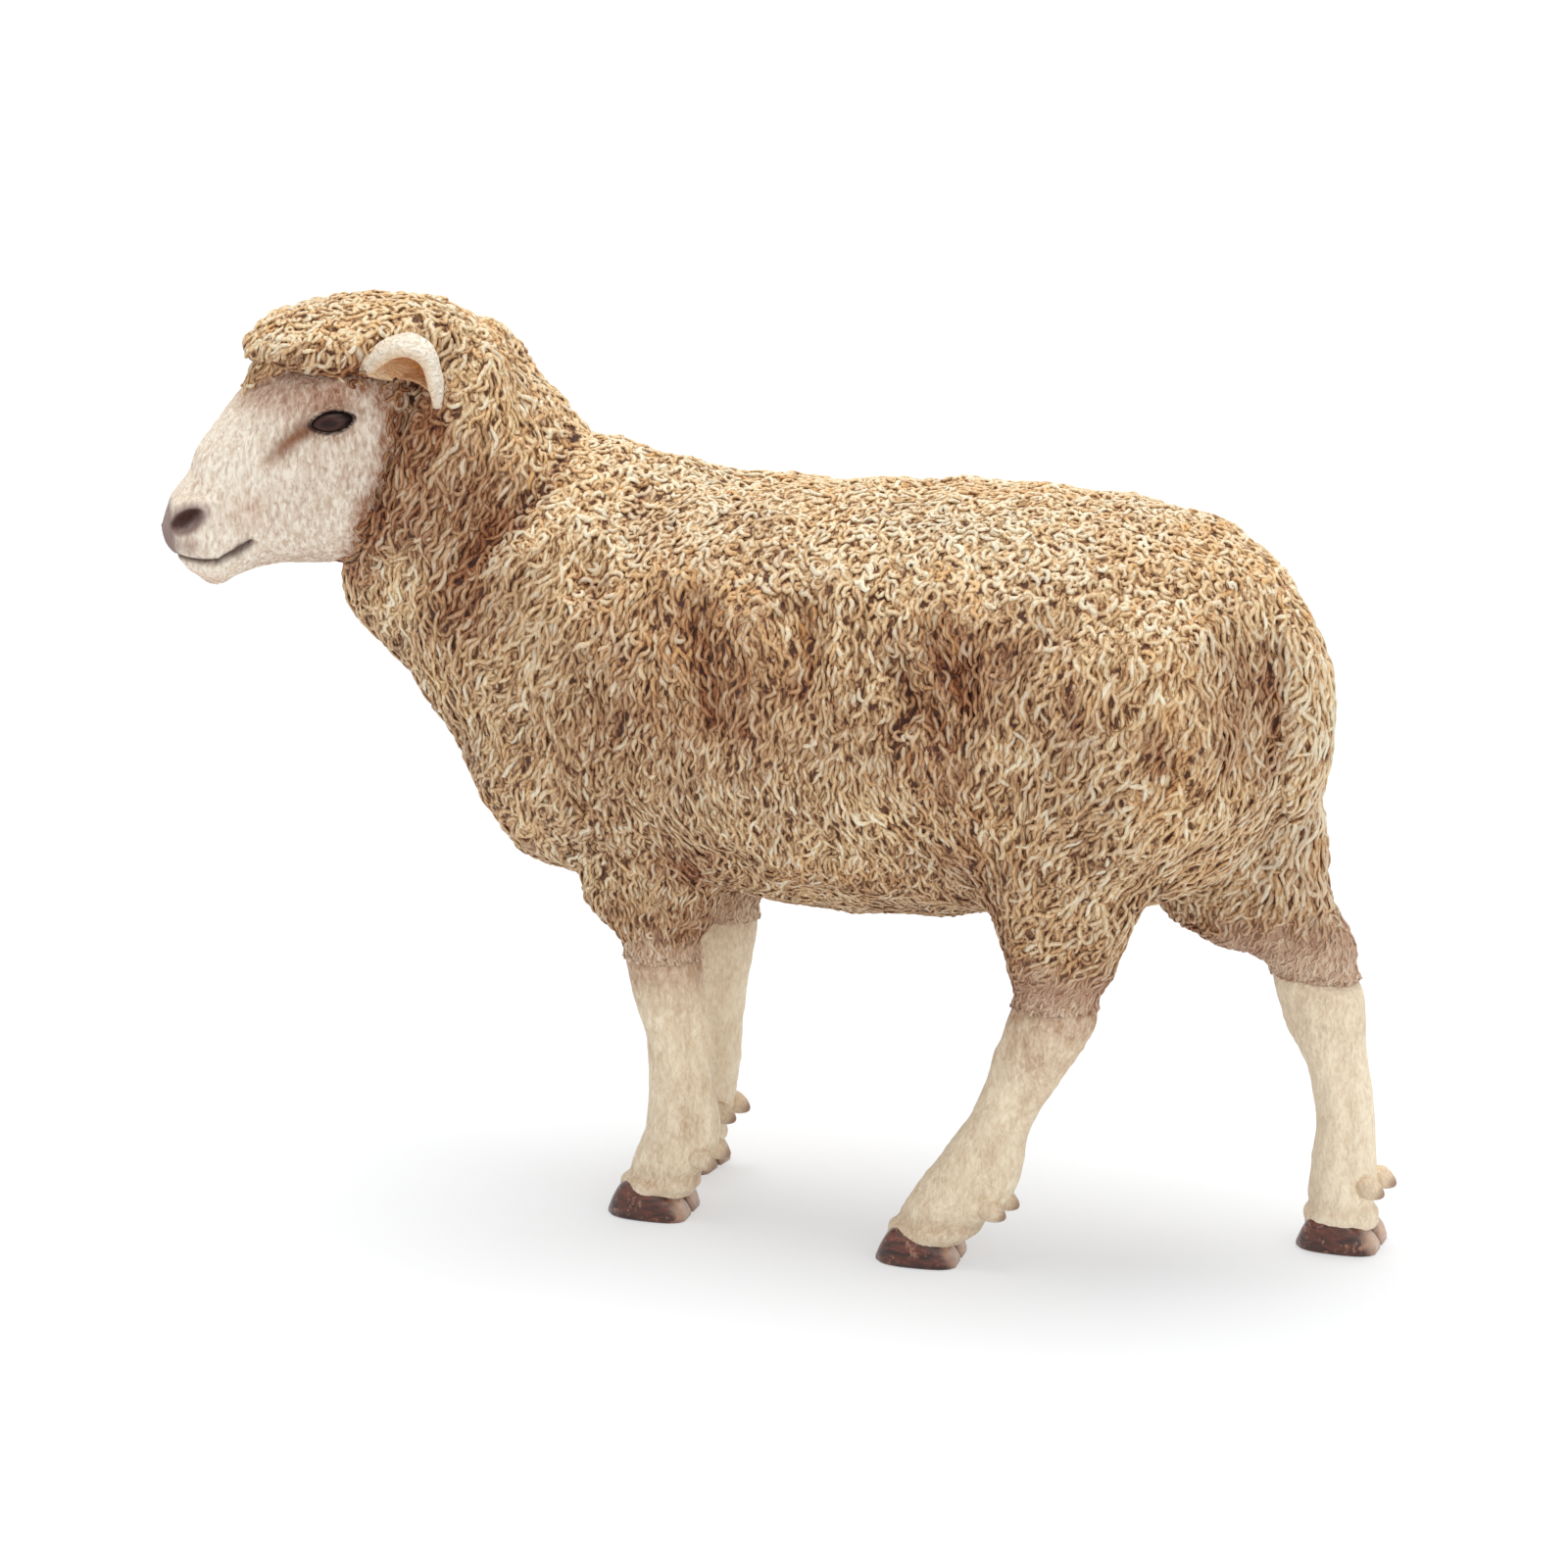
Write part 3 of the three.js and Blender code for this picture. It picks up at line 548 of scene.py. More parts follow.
headRoot = np.array(headBuild["root"]) + origin


def fromHead(points):
    # ahead, aside and above the head's root, turned to where the head looks
    return headRoot + points @ headAxes


def toHead(points):
    return (points - headRoot) @ headAxes.T


def headRings(build, steps, sides):
    # ovals between the top line and the jaw line, half as wide as the table says
    rows = along(build["rows"], steps)
    top = xyz(build["length"] * rows[:, 0], 0, build["depth"] * rows[:, 1])
    jaw = xyz(build["length"] * rows[:, 2], 0, build["depth"] * rows[:, 3])
    half = xyz(0, build["width"] * rows[:, 4], 0)
    return ovals((top + jaw) / 2, half, (top - jaw) / 2, sides, build["squareness"])


legBuild = {
    "bellyHeight": 25,
    "thickness": 4.8,
    "rump": -41,
    "trunkLength": 69,
    "trunkWidth": 30.5,
}
shankRows = {  # height and way ahead of the hip in belly heights, half length and width in thicknesses
    "front_left": [
        [0.05, 0.03, 0.6, 0.58], [0.12, -0.002, 0.6, 0.55], [0.18, -0.03, 0.62, 0.54],
        [0.25, -0.06, 0.63, 0.52], [0.31, -0.069, 0.6, 0.48], [0.4, -0.067, 0.555, 0.44],
        [0.56, -0.051, 0.52, 0.43], [0.68, -0.03, 0.55, 0.48], [0.8, -0.009, 0.61, 0.53],
        [0.88, 0, 0.53, 0.47], [1.02, 0.01, 0.48, 0.43],
    ],
    "front_right": [
        [0.05, 0.128, 0.6, 0.58], [0.12, 0.108, 0.6, 0.55], [0.17, 0.09, 0.58, 0.54],
        [0.28, 0.07, 0.61, 0.52], [0.34, 0.056, 0.58, 0.48], [0.44, 0.04, 0.54, 0.43],
        [0.56, 0.024, 0.52, 0.43], [0.68, 0.012, 0.55, 0.48], [0.8, 0.003, 0.61, 0.53],
        [0.88, 0, 0.53, 0.47], [1.02, 0.01, 0.48, 0.43],
    ],
    "rear_left": [
        [0.05, 0.444, 0.6, 0.58], [0.12, 0.39, 0.72, 0.55], [0.17, 0.352, 0.77, 0.55],
        [0.23, 0.308, 0.78, 0.54], [0.28, 0.281, 0.75, 0.52], [0.34, 0.25, 0.66, 0.5],
        [0.41, 0.22, 0.57, 0.46], [0.48, 0.182, 0.52, 0.44], [0.56, 0.144, 0.54, 0.44],
        [0.64, 0.101, 0.59, 0.46], [0.72, 0.061, 0.66, 0.49], [0.8, 0.03, 0.7, 0.53],
        [0.88, 0.018, 0.6, 0.48], [1.06, 0, 0.48, 0.43],
    ],
    "rear_right": [
        [0.05, -0.195, 0.6, 0.58], [0.12, -0.19, 0.56, 0.55], [0.18, -0.195, 0.53, 0.54],
        [0.25, -0.199, 0.51, 0.53], [0.33, -0.201, 0.48, 0.5], [0.4, -0.199, 0.46, 0.45],
        [0.48, -0.189, 0.46, 0.44], [0.56, -0.171, 0.5, 0.45], [0.64, -0.148, 0.56, 0.48],
        [0.72, -0.127, 0.65, 0.52], [0.8, -0.107, 0.71, 0.54], [0.88, -0.075, 0.6, 0.48],
        [0.96, -0.04, 0.5, 0.45], [1.08, 0.02, 0.45, 0.43],
    ],
}
legParts = ("along", "aside", "toe", "hem", "woolEnd", "wash")
legRows = {  # woolEnd: where curls give way to short hair; wash: strength, height, reach above and below it, of a band of brown wash and painted shade where the wool ends
    "front_left": (0.721, 0.172, 6, 20.9, 22.2, (0.55, 23.6, 2.2, 3.0)),
    "front_right": (0.719, -0.204, -3, 20.9, 22.6, (0.3, 24.0, 2.0, 2.0)),
    "rear_left": (0.239, 0.248, 9, 21.2, 24.6, (0.42, 23.6, 2.2, 4.0)),
    "rear_right": (0.058, -0.238, 6, 21.2, 25.6, (0.4, 24.8, 1.8, 2.2)),
}
legs = {name: dict(zip(legParts, row)) for name, row in legRows.items()}


def hipOf(leg):
    x = legBuild["rump"] + legBuild["trunkLength"] * leg["along"]
    return np.array([x, legBuild["trunkWidth"] * leg["aside"], 0]) + origin


def topOf(name):
    return legBuild["bellyHeight"] * shankRows[name][-1][0]


def shankAt(name, rises):
    # the middle of a shank and its two radii, at each height
    rows = along(shankRows[name], rises / legBuild["bellyHeight"])
    centre = hipOf(legs[name]) + xyz(legBuild["bellyHeight"] * rows[:, 0], 0, rises)
    return centre, legBuild["thickness"] * rows[:, 1:3]


def shankRings(name, rises, sides):
    # level ovals about a line that wanders ahead of the hip as the table says
    centre, radii = shankAt(name, rises)
    return ovals(centre, xyz(radii[:, 0], 0, 0), xyz(0, radii[:, 1], 0), sides)


def asideOf(name, points):
    # the middle of a shank at each point's height, the way from it to the point, and that way in radii
    centre, radii = shankAt(name, points[:, 2])
    offset = points[:, :2] - centre[:, :2]
    return centre[:, :2], offset, span(offset / radii)


def legWashAndShade(leg, rise):
    # strength * exp(-(d/w)^2) of the height above or below its middle, with a width for each: a band of
    # brown wash and painted shade
    strength, middle, above, below = leg["wash"]
    return strength * bell(rise - middle, np.where(rise > middle, above, below))


def shortHairAt(points):
    # 1 on the lowest part of each woolly leg, where its hair is as short as the shank's
    total = np.zeros(len(points))
    for name, leg in legs.items():
        near = points[:, 2] < leg["woolEnd"] + 2.4
        away = asideOf(name, points[near])[2]
        rise = points[near, 2] + 0.9 * noise(points[near], 1.2, 33) - leg["woolEnd"]
        total[near] += ease(-away, -3.0, -2.4) * (1 - ease(rise, -1.6, 1.4))
    return total


# Undercoat: the fleece's own solids closed over the pieces that plug into them, with soft clumps and folds
fleeceBuild = {
    "seamFill": 0.2,
    "voxel": 0.45,
    "soften": (0.5, 5),  # share of the way to the neighbours' middle, and how often
    "sink": 0.34,
    "clump": 0.22,
    "clumpCell": (2.8, 2.8, 4.4),
    "foldDepth": 0.4,
    "foldWidth": 0.8,
    "creaseWidth": 0.28,
    "hoodPlug": (1.75, 12, 40),  # how many steps of the head's table it fills, its rings and its sides
    "legPlug": (0.5, 8, 24),  # how far it rises over the shank, its rings and its sides
    "hemReach": 3.0,
    "hemLedge": 1.08,
    "backLift": [  # how much higher the wool stands along the back: x, rise
        [-60, 0.5], [-48, 0.5], [-40, 1.3], [-33, 1.6], [-26, 1.3], [-14, 1.0], [2, 0.9], [8, 1.0],
        [11, 1.2], [14, 0.9], [18, 0.5], [22, 0.9], [25, 1.1], [28, 0.7], [31, 0], [60, 0],
    ],
    "swells": [  # fuller and slimmer places: middle, reach, and how far the middle moves
        ((34.4, 3.0, 44.8), (4.5, 6.5, 3.6), (2.4, 0, -0.3)),
        ((25.8, 0.0, 30.8), (5.0, 8.0, 3.0), (-1.6, 0, 0)),
        ((13.3, 6.0, 24.6), (3.0, 3.5, 2.4), (1.5, 0, 0)),
        ((23.4, 0.0, 68.0), (3.6, 8.0, 3.4), (-1.2, 0, 0.5)),
        ((14.5, 0.0, 59.5), (5.0, 9.0, 4.0), (0.3, 0, -0.3)),
        ((40.0, 8.2, 66.8), (3.2, 4.5, 3.0), (0.2, 0.1, 0.85)),
        ((-7.9, 0.0, 24.0), (9.0, 8.0, 3.0), (0, 0, -0.6)),
        ((-42.0, -7.5, 25.0), (4.0, 3.5, 3.0), (-1.1, 0, 0)),
        ((-39.0, 0.0, 54.5), (4.0, 8.0, 4.0), (-0.7, 0, 0.3)),
    ],
}
folds = [  # each a line of x and z on one side of the body: side, depth, points
    (1, 1.0, [(-14.2, 47.3), (-15.4, 45.4), (-15.2, 43.8), (-14.0, 43.0)]),
    (1, 0.8, [(-17.2, 49.0), (-18.2, 47.0)]),
    (1, 0.9, [(-17.0, 44.2), (-18.2, 42.6)]),
    (1, 0.8, [(-19.4, 47.4), (-19.9, 44.2)]),
    (1, 0.7, [(-34.1, 44.4), (-34.9, 42.2)]),
    (1, 0.9, [(-39.9, 48.4), (-40.6, 44.0), (-40.2, 40.0)]),
    (1, 1.2, [(16.6, 59.8), (16.8, 56.7), (19.6, 53.2), (22.3, 50.4)]),
    (1, 0.8, [(10.3, 56.8), (10.0, 55.2)]),
    (1, 0.8, [(12.0, 51.2), (11.2, 49.4)]),
    (1, 0.8, [(24.2, 62.0), (25.4, 58.4), (25.8, 55.0)]),
    (1, 0.7, [(2.2, 48.6), (1.2, 45.2), (0.4, 41.8)]),
    (1, 0.6, [(-6.4, 50.4), (-7.0, 47.2), (-6.6, 44.6)]),
    (1, 0.6, [(-2.4, 42.4), (-3.4, 38.6)]),
    (1, 0.6, [(-26.4, 50.2), (-28.0, 46.8), (-29.0, 43.6)]),
    (-1, 1.0, [(-12.8, 47.6), (-14.0, 45.2), (-13.6, 43.2)]),
    (-1, 0.8, [(-20.2, 48.6), (-21.4, 45.4), (-20.6, 42.6)]),
    (-1, 0.8, [(-35.6, 46.2), (-36.6, 42.6)]),
    (-1, 1.1, [(15.4, 60.2), (16.2, 55.6), (18.0, 51.6)]),
    (-1, 0.8, [(8.6, 55.6), (8.0, 52.4)]),
    (-1, 0.7, [(0.8, 47.2), (0.0, 42.6)]),
    (-1, 0.6, [(-6.2, 50.2), (-7.4, 46.2)]),
]


def fuller(points, build):
    # raised along the back, and moved at each swell by its move * exp(-|d / reach|^2)
    lifted = points.copy()
    lifted[:, 2] += along(build["backLift"], points[:, 0])[:, 0] * ease(points[:, 2], 38, 50)
    for middle, reach, move in build["swells"]:
        lifted += bell(span((points - middle) / reach), 1.0)[:, None] * move
    return lifted


def foldDepthAt(points, normals, width):
    # for each fold depth * exp(-(d/w)^2), on the side of the body that the fold is on
    total = np.zeros(len(points))
    for side, depth, line in folds:
        facing = ease(side * normals[:, 1], 0.15, 0.45)
        total += depth * facing * bell(awayFrom(points[:, [0, 2]], line), width)
    return np.minimum(total, 1.3)


def underFleece(build):
    shapes = []
    for name in ("body_fleece", "neck_fleece"):
        points, triangles = nodeShape(name)
        shapes.append((points + normalsOf(points, triangles) * build["seamFill"], triangles))
    shapes.append(nodeShape("tail"))
    last, rings, sides = build["hoodPlug"]
    plugs = [fromHead(headRings(headBuild, np.linspace(0, last, rings), sides))]
    over, rings, sides = build["legPlug"]
    for name, leg in legs.items():
        plugs.append(shankRings(name, np.linspace(leg["hem"], topOf(name) + over, rings), sides))
    shapes += [(withPoles(plug), split(*ringFaces(*plug.shape[:2]))) for plug in plugs]
    shapes = [(shape, facingOut(shape, noFaces, faces)[1]) for shape, faces in shapes]
    rough = makeMesh("rough", *joined(shapes))
    skin = rough.modifiers.new("skin", "REMESH")
    skin.mode = "VOXEL"
    skin.voxel_size = build["voxel"] * mm
    soft = rough.modifiers.new("soft", "SMOOTH")
    soft.factor, soft.iterations = build["soften"]
    return evaluated(rough)


def drawnIn(points, build):
    # near each hem the coat closes on the shank: its distance, in radii of the shank, nears hemLedge
    points = points.copy()
    for name, leg in legs.items():
        near = points[:, 2] < leg["hem"] + build["hemReach"]
        centre, offset, away = asideOf(name, points[near])
        away = np.maximum(away, 1e-6)
        mine = ease(-away, -2.6, -2.2) * (1 - ease(points[near, 2] - leg["hem"], 0, build["hemReach"]))
        wanted = np.minimum(away, build["hemLedge"])
        points[near, :2] = centre + offset * (1 + mine * (wanted / away - 1))[:, None]
    return points


def outerPart(points, triangles):
    # only the largest skin is kept, not the walls of hollows closed inside it
    label = np.arange(len(points))
    for _ in range(400):
        lowest = label[triangles].min(axis=1)
        spread = label.copy()
        for corner in range(3):
            np.minimum.at(spread, triangles[:, corner], lowest)
        spread = spread[spread]
        if (spread == label).all():
            break
        label = spread
    kept = label == np.bincount(label).argmax()
    place = np.cumsum(kept) - 1
    return points[kept], place[triangles[kept[triangles].all(axis=1)]]


say("undercoat starts")
coatPoints, coatTriangles = outerPart(*underFleece(fleeceBuild))
coatNormals = normalsOf(coatPoints, coatTriangles)
coatFolds = foldDepthAt(coatPoints, coatNormals, fleeceBuild["foldWidth"])
clumps = 0.7 * noise(coatPoints, fleeceBuild["clumpCell"], 3) + 0.4 * noise(coatPoints, 1.5, 5)
coatMove = -fleeceBuild["seamFill"] - fleeceBuild["sink"] - fleeceBuild["foldDepth"] * coatFolds
coatPoints = coatPoints + coatNormals * (coatMove + fleeceBuild["clump"] * clumps)[:, None]
coatPoints = fuller(drawnIn(coatPoints, fleeceBuild), fleeceBuild)
say(f"undercoat has {len(coatTriangles)} triangles")


paintedLightPatches = [  # patches of painted light, where wool that lies in shade is painted paler, on the far thigh and the rump: place, reach, strength
    (-42.0, -7.5, 33.0, 8.0, 0.26), (-45.0, 1.0, 44.0, 6.0, 0.26),
]
washShadeAndLightPatches = [  # patches of brown wash and painted shade, on the flanks and shoulders, in folds, behind the head and low on the body, and two with less of it, painted lighter: place, reach, strength
    (-46.0, 0.0, 43.0, 6.0, -0.16), (-44.0, -8.0, 34.0, 6.0, -0.12), (-3.0, 13.0, 49.5, 9.0, 0.32),
    (-22.0, 13.5, 48.5, 7.0, 0.26), (-18.4, 14.0, 37.5, 2.6, 0.4), (-18.8, 13.0, 33.0, 2.4, 0.35),
    (9.0, 12.0, 41.0, 8.0, 0.22), (9.0, 12.0, 31.0, 6.0, 0.2), (-42.0, -7.5, 30.0, 6.0, 0.15),
    (23.5, 9.0, 56.0, 5.0, 0.75), (25.5, 8.5, 63.0, 2.6, 0.6), (22.0, 10.5, 47.5, 3.4, 0.65),
    (9.8, 12.8, 56.0, 1.8, 0.5), (11.4, 12.8, 50.4, 2.2, 0.5), (-17.6, 14.6, 41.5, 3.4, 0.45),
    (-18.4, 14.4, 47.6, 2.6, 0.4), (-40.4, 8.5, 44.5, 3.6, 0.6), (-34.6, 13.4, 43.2, 1.8, 0.45),
    (0.5, 14.2, 44.5, 4.0, 0.3), (-20.0, 13.0, 31.0, 3.6, 0.4), (4.0, 8.0, 29.0, 4.0, 0.6),
    (8.5, -4.0, 26.0, 4.5, 0.5), (-20.0, 10.0, 27.0, 3.5, 0.35), (-36.0, -7.5, 30.0, 5.0, 0.4),
    (17.0, -11.0, 54.0, 4.5, 0.4), (-14.0, -14.0, 45.0, 4.0, 0.4), (3.0, -13.5, 44.0, 4.0, 0.3),
]


def spotsAt(points, spots):
    # the sum over the spots of strength * exp(-(d/r)^2)
    total = np.zeros(len(points))
    for *place, reach, strength in spots:
        total += strength * bell(span(points - place), reach)
    return total


def capAt(points):
    # 1 at the cap of wool over the brow, 0 down the cheeks
    inHead = toHead(points)
    return ease(inHead[:, 2], 3.0, 5.0) * ease(inHead[:, 0], *headBuild["capAhead"])


def washAndShadeAt(points, normals):
    # brown wash and painted shade: darker in the folds and the patches, along the hood's edge and at each
    # leg's hem; steep and overhung places painted darker as shade; and a slow drift
    total = 0.65 * foldDepthAt(points, normals, fleeceBuild["foldWidth"]) + spotsAt(points, washShadeAndLightPatches)
    # painted shade and brown wash along the hood's edge round the head, less under the cap
    edge = 1 - ease(gapTo(points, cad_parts["head"]), 0.6, 3.4)
    total += 0.85 * edge * (1 - 0.6 * capAt(points))
    for leg in legs.values():
        mine = ease(-np.abs(points[:, 0] - hipOf(leg)[0]), -9.0, -6.0) * (points[:, 1] * leg["aside"] > 0)
        total += mine * legWashAndShade(leg, points[:, 2])
    # painted shade: steep sides, turned away from the light above, painted darker
    steep = 1 - ease(normals[:, 2] + 0.3 * noise(points, 4.5, 13), 0.1, 0.65)
    total += steep * (0.26 - 0.06 * shortHairAt(points))
    # painted shade: overhung places facing down painted darker
    total += 0.25 * ease(-normals[:, 2], 0.2, 0.9)
    total += 0.2 * noise(points, 7.0, 11) + 0.14 * noise(points, 2.6, 12) - 0.04
    return np.clip(total, 0, 1)


def woolValues(points, normals, height):
    return {
        "height": height,
        "wash": washAndShadeAt(points, normals),
        "toneAndTopLight": 0.4 * noise(points, 5.0, 8),
        "between": np.ones(len(points)),
    }


coatNormals = normalsOf(coatPoints, coatTriangles)
creases = foldDepthAt(coatPoints, coatNormals, fleeceBuild["creaseWidth"])
# painted shade and painted light: lower and darker in the creases, higher and paler on the painted light
# patches; clumps vary it
coatHeight = 0.4 + 0.16 * clumps - 0.45 * creases + 0.5 * spotsAt(coatPoints, paintedLightPatches)
undercoat = addPiece(
    "undercoat", (coatPoints, noFaces, coatTriangles), wool, ("body_fleece", "neck_fleece"),
    {**woolValues(coatPoints, coatNormals, coatHeight), "bare": shortHairAt(coatPoints)},
)

# Tail: broad and woolly, narrow at its end
tailBuild = {
    "rump": -41,
    "top": 51.4,
    "length": 16,
    "width": 7.5,
    "thickness": 4.4,
    "rings": 50,
    "sides": 56,
    "rows": [  # share of the way down, place behind the rump, half width, half thickness
        [0, -0.75, 0.26, 0.3], [0.12, -0.45, 0.4, 0.42], [0.35, -0.15, 0.48, 0.5],
        [0.65, -0.1, 0.5, 0.48], [0.88, -0.15, 0.4, 0.36], [1, -0.2, 0.16, 0.14],
    ],
}


def tailCore(build):
    # level ovals down the tail, with clumps pushed in and out along the way from its middle
    down = np.linspace(0, 1, build["rings"])
    rows = along(build["rows"], down)
    centre = xyz(build["rump"] - build["thickness"] * rows[:, 0], 0, build["top"] - build["length"] * down)
    across = xyz(0, build["width"] * rows[:, 1], 0)
    thick = xyz(build["thickness"] * rows[:, 2], 0, 0)
    rings = ovals(centre + origin, across, thick, build["sides"])
    outward = unit(rings - rings.mean(axis=1, keepdims=True))
    return rings + outward * (0.3 * noise(rings, (2.6, 2.6, 4.5), 21) - 0.25)[..., None]


tailPoints, tailQuads, tailFans = skinned(tailCore(tailBuild))
tailPoints = fuller(tailPoints, fleeceBuild)
tailTriangles = split(tailQuads, tailFans)
tailPiece = addPiece(
    "tail_core", (tailPoints, tailQuads, tailFans), wool, ("tail",),
    woolValues(tailPoints, normalsOf(tailPoints, tailTriangles), np.full(len(tailPoints), 0.45)),
)

# Face: a fine skin over the same rings, pressed in and raised round its features
faceLook = {
    "rings": 200,
    "sides": 280,
    "noseRings": 10,
    "noseBulge": 0.3,
    "eye": {"place": (9.2, 3.68), "half": (1.66, 0.8), "slant": -10},
    "nostril": {"place": (19.9, -4.4), "half": (1.55, 0.76), "slant": -36},
    "lids": (0.34, 0.16),
    "ridges": {  # on the side of the head: how far out, width, line ahead and up
        "brow": (0.4, 0.95, [(8.2, 6.4), (11.6, 5.7)]),
        "tear": (-0.22, 0.6, [(11.1, 3.1), (12.4, 2.2), (14.0, 0.8)]),
        "cheekbone": (0.22, 0.9, [(14.2, -0.2), (10.0, -0.4), (6.0, 0.6)]),
        "hollow": (-0.22, 1.5, [(16.8, -1.2), (13.0, -3.0)]),
    },
    "mouth": [(22.2, -7.4), (20.1, -7.35), (18.0, -7.25), (16.6, -6.7), (15.3, -5.9)],
    "jaw": [(16.0, -7.8), (8.0, -8.2)],
    "bridge": [(18.6, 0.6), (16.0, 4.2)],
    "front": [  # how far the front of the muzzle moves ahead: height above the root, move
        [-12, -1.2], [-9.5, -1.2], [-8.3, -1.05], [-7.4, -0.5], [-6.4, 0], [-4.4, 0.2], [-2.8, 0.3],
        [-1.2, 0], [12, 0],
    ],
    "capShade": 4.4,
    "hoodShade": 2.0,
    "capFill": 1.1,
    "capLine": (5.0, 2.6),  # where the cap's wool ends over the brow, and how much higher it ends beside it
}


def ovalPlane(flat, oval):
    # ahead and up from an oval's middle, turned to its slant, over its half length and half height
    slant = math.radians(oval["slant"])
    offset = flat - np.array(oval["place"])
    length = offset[..., 0] * math.cos(slant) + offset[..., 1] * math.sin(slant)
    rise = offset[..., 1] * math.cos(slant) - offset[..., 0] * math.sin(slant)
    return length / oval["half"][0], rise / oval["half"][1]


def overBrow(inHead):
    # 1 where the cap's wool hangs over the brow: above low + more * s, s easing from 0 to 1 aside
    low, more = faceLook["capLine"]
    line = low + more * ease(np.abs(inHead[:, 1]), 0.8, 4.0) + 0.4 * noise(inHead, 1.2, 55)
    return ease(inHead[:, 2] - line, -0.3, 0.3) * ease(inHead[:, 0], *headBuild["capAhead"])


def faceSkin(look):
    # every feature is a bell exp(-(d/w)^2) of the distance to a line or an oval on the side of the head
    rings = headRings(headBuild, np.linspace(0, 9, look["rings"]), look["sides"])
    middle = rings[-1].mean(axis=0)
    turn = np.linspace(0, math.pi / 2, look["noseRings"] + 1)[1:-1, None, None]
    bulge = np.array([look["noseBulge"], 0, 0])
    nose = middle + (rings[-1] - middle)[None] * np.cos(turn) ** 0.8 + bulge * np.sin(turn)
    points, quads, fans = skinned(np.concatenate([rings, nose]))
    normals = normalsOf(points, split(quads, fans))
    flat = points[:, [0, 2]]
    ahead, aside, rise = points[:, 0], np.abs(points[:, 1]), points[:, 2]
    onSide = ease(aside, 2.2, 3.4)
    length, tall = ovalPlane(flat, look["eye"])
    fromEye = np.sqrt(length**2 + (tall * (1 + 0.25 * length**2)) ** 2)
    lid = np.where(tall > 0, *look["lids"]) * bell(fromEye - 1.2, 0.2)
    socket = -0.6 * (1 - ease(fromEye, 0.7, 1.08))
    crease = -0.12 * bell(fromEye - 1.75, 0.2) * (tall > 0)
    move = onSide * (lid + socket + crease)
    for depth, width, line in look["ridges"].values():
        move += depth * bell(awayFrom(flat, line), width) * onSide
    move += 0.6 * bell(awayFrom(flat, look["bridge"]), 2.0) * bell(aside, 3.0)
    offMiddle = ease(aside, 0.5, 1.1)
    length, tall = ovalPlane(flat, look["nostril"])
    fromNostril = np.sqrt(length**2 + tall**2)
    wing = bell(fromNostril - 1.4, 0.32) * ease(tall, -0.4, 0.6) * ease(-ahead, -21.2, -20.4)
    floor = 0.45 + 0.55 * ease(tall, -0.6, 0.2)
    move += (0.22 * wing - 0.7 * floor * (1 - ease(fromNostril, 0.4, 1.05))) * offMiddle
    fromMouth = awayFrom(flat, look["mouth"])
    lower = awayFrom(flat + np.array([0.2, 0.85]), look["mouth"])
    upper = awayFrom(flat - np.array([0.1, 0.75]), look["mouth"])
    notFront = 1 - 0.8 * ease(ahead, 20.6, 21.4)
    move += notFront * (0.2 * bell(lower, 0.5) + 0.12 * bell(upper, 0.45)) - 0.3 * bell(fromMouth, 0.17)
    cleft = bell(aside, 0.22) * ease(ahead, 20.4, 21.2) * ease(rise, -7.2, -6.8) * ease(-rise, 4.6, 5.2)
    move -= 0.3 * cleft
    hairs = noise(points @ turnAbout(1, 14).T, (0.34, 0.34, 1.1), 51)
    calm = 1 - ease(ahead, 19.6, 21.0)
    move += 0.06 * hairs * calm * ease(fromEye, 1.0, 1.5)
    move += 0.12 * noise(points, 3.2, 52) * ease(fromEye, 1.2, 2.2)
    points = points + normals * move[:, None]
    points[:, 0] += along(look["front"], rise)[:, 0] * ease(ahead, 16.0, 20.0)
    points[:, 2] -= 0.62 * bell(ahead - 17.3, 3.1) * ease(-rise, 6.0, 8.6)
    lips = 0.92 * bell(fromMouth, 0.19 + 0.18 * bell(ahead - 16.0, 0.9)) * ease(ahead, 14.6, 15.5)
    # a dark line round the eye's opening: dark paint and painted shade from the lids
    rim = bell(fromEye - 1.04, 0.1) * onSide
    hole = (1 - ease(fromNostril, 0.86, 1.04)) * (0.28 + 0.72 * ease(tall, -0.35, 0.4)) * offMiddle
    nosePad = np.maximum.reduce([
        ease(ahead, 20.2, 21.4) * ease(rise, -7.6, -7.1) * ease(-rise - 0.3 * aside, 2.2, 3.8),
        0.8 * bell(np.maximum(fromNostril - 0.9, 0), 0.45) * offMiddle,
        0.55 * ease(ahead, 18.4, 20.0) * bell(rise + 6.3, 0.9),
    ])
    placed = fromHead(points)
    gap = gapTo(placed, undercoat)
    cap = capAt(placed)
    loose = 0.35 * noise(points, 1.4, 54)
    hanging = overBrow(points)
    filled = look["capFill"] * hanging * (1 - ease(gap, 0.6, 3.2))
    placed = fromHead(points + normals * filled[:, None])
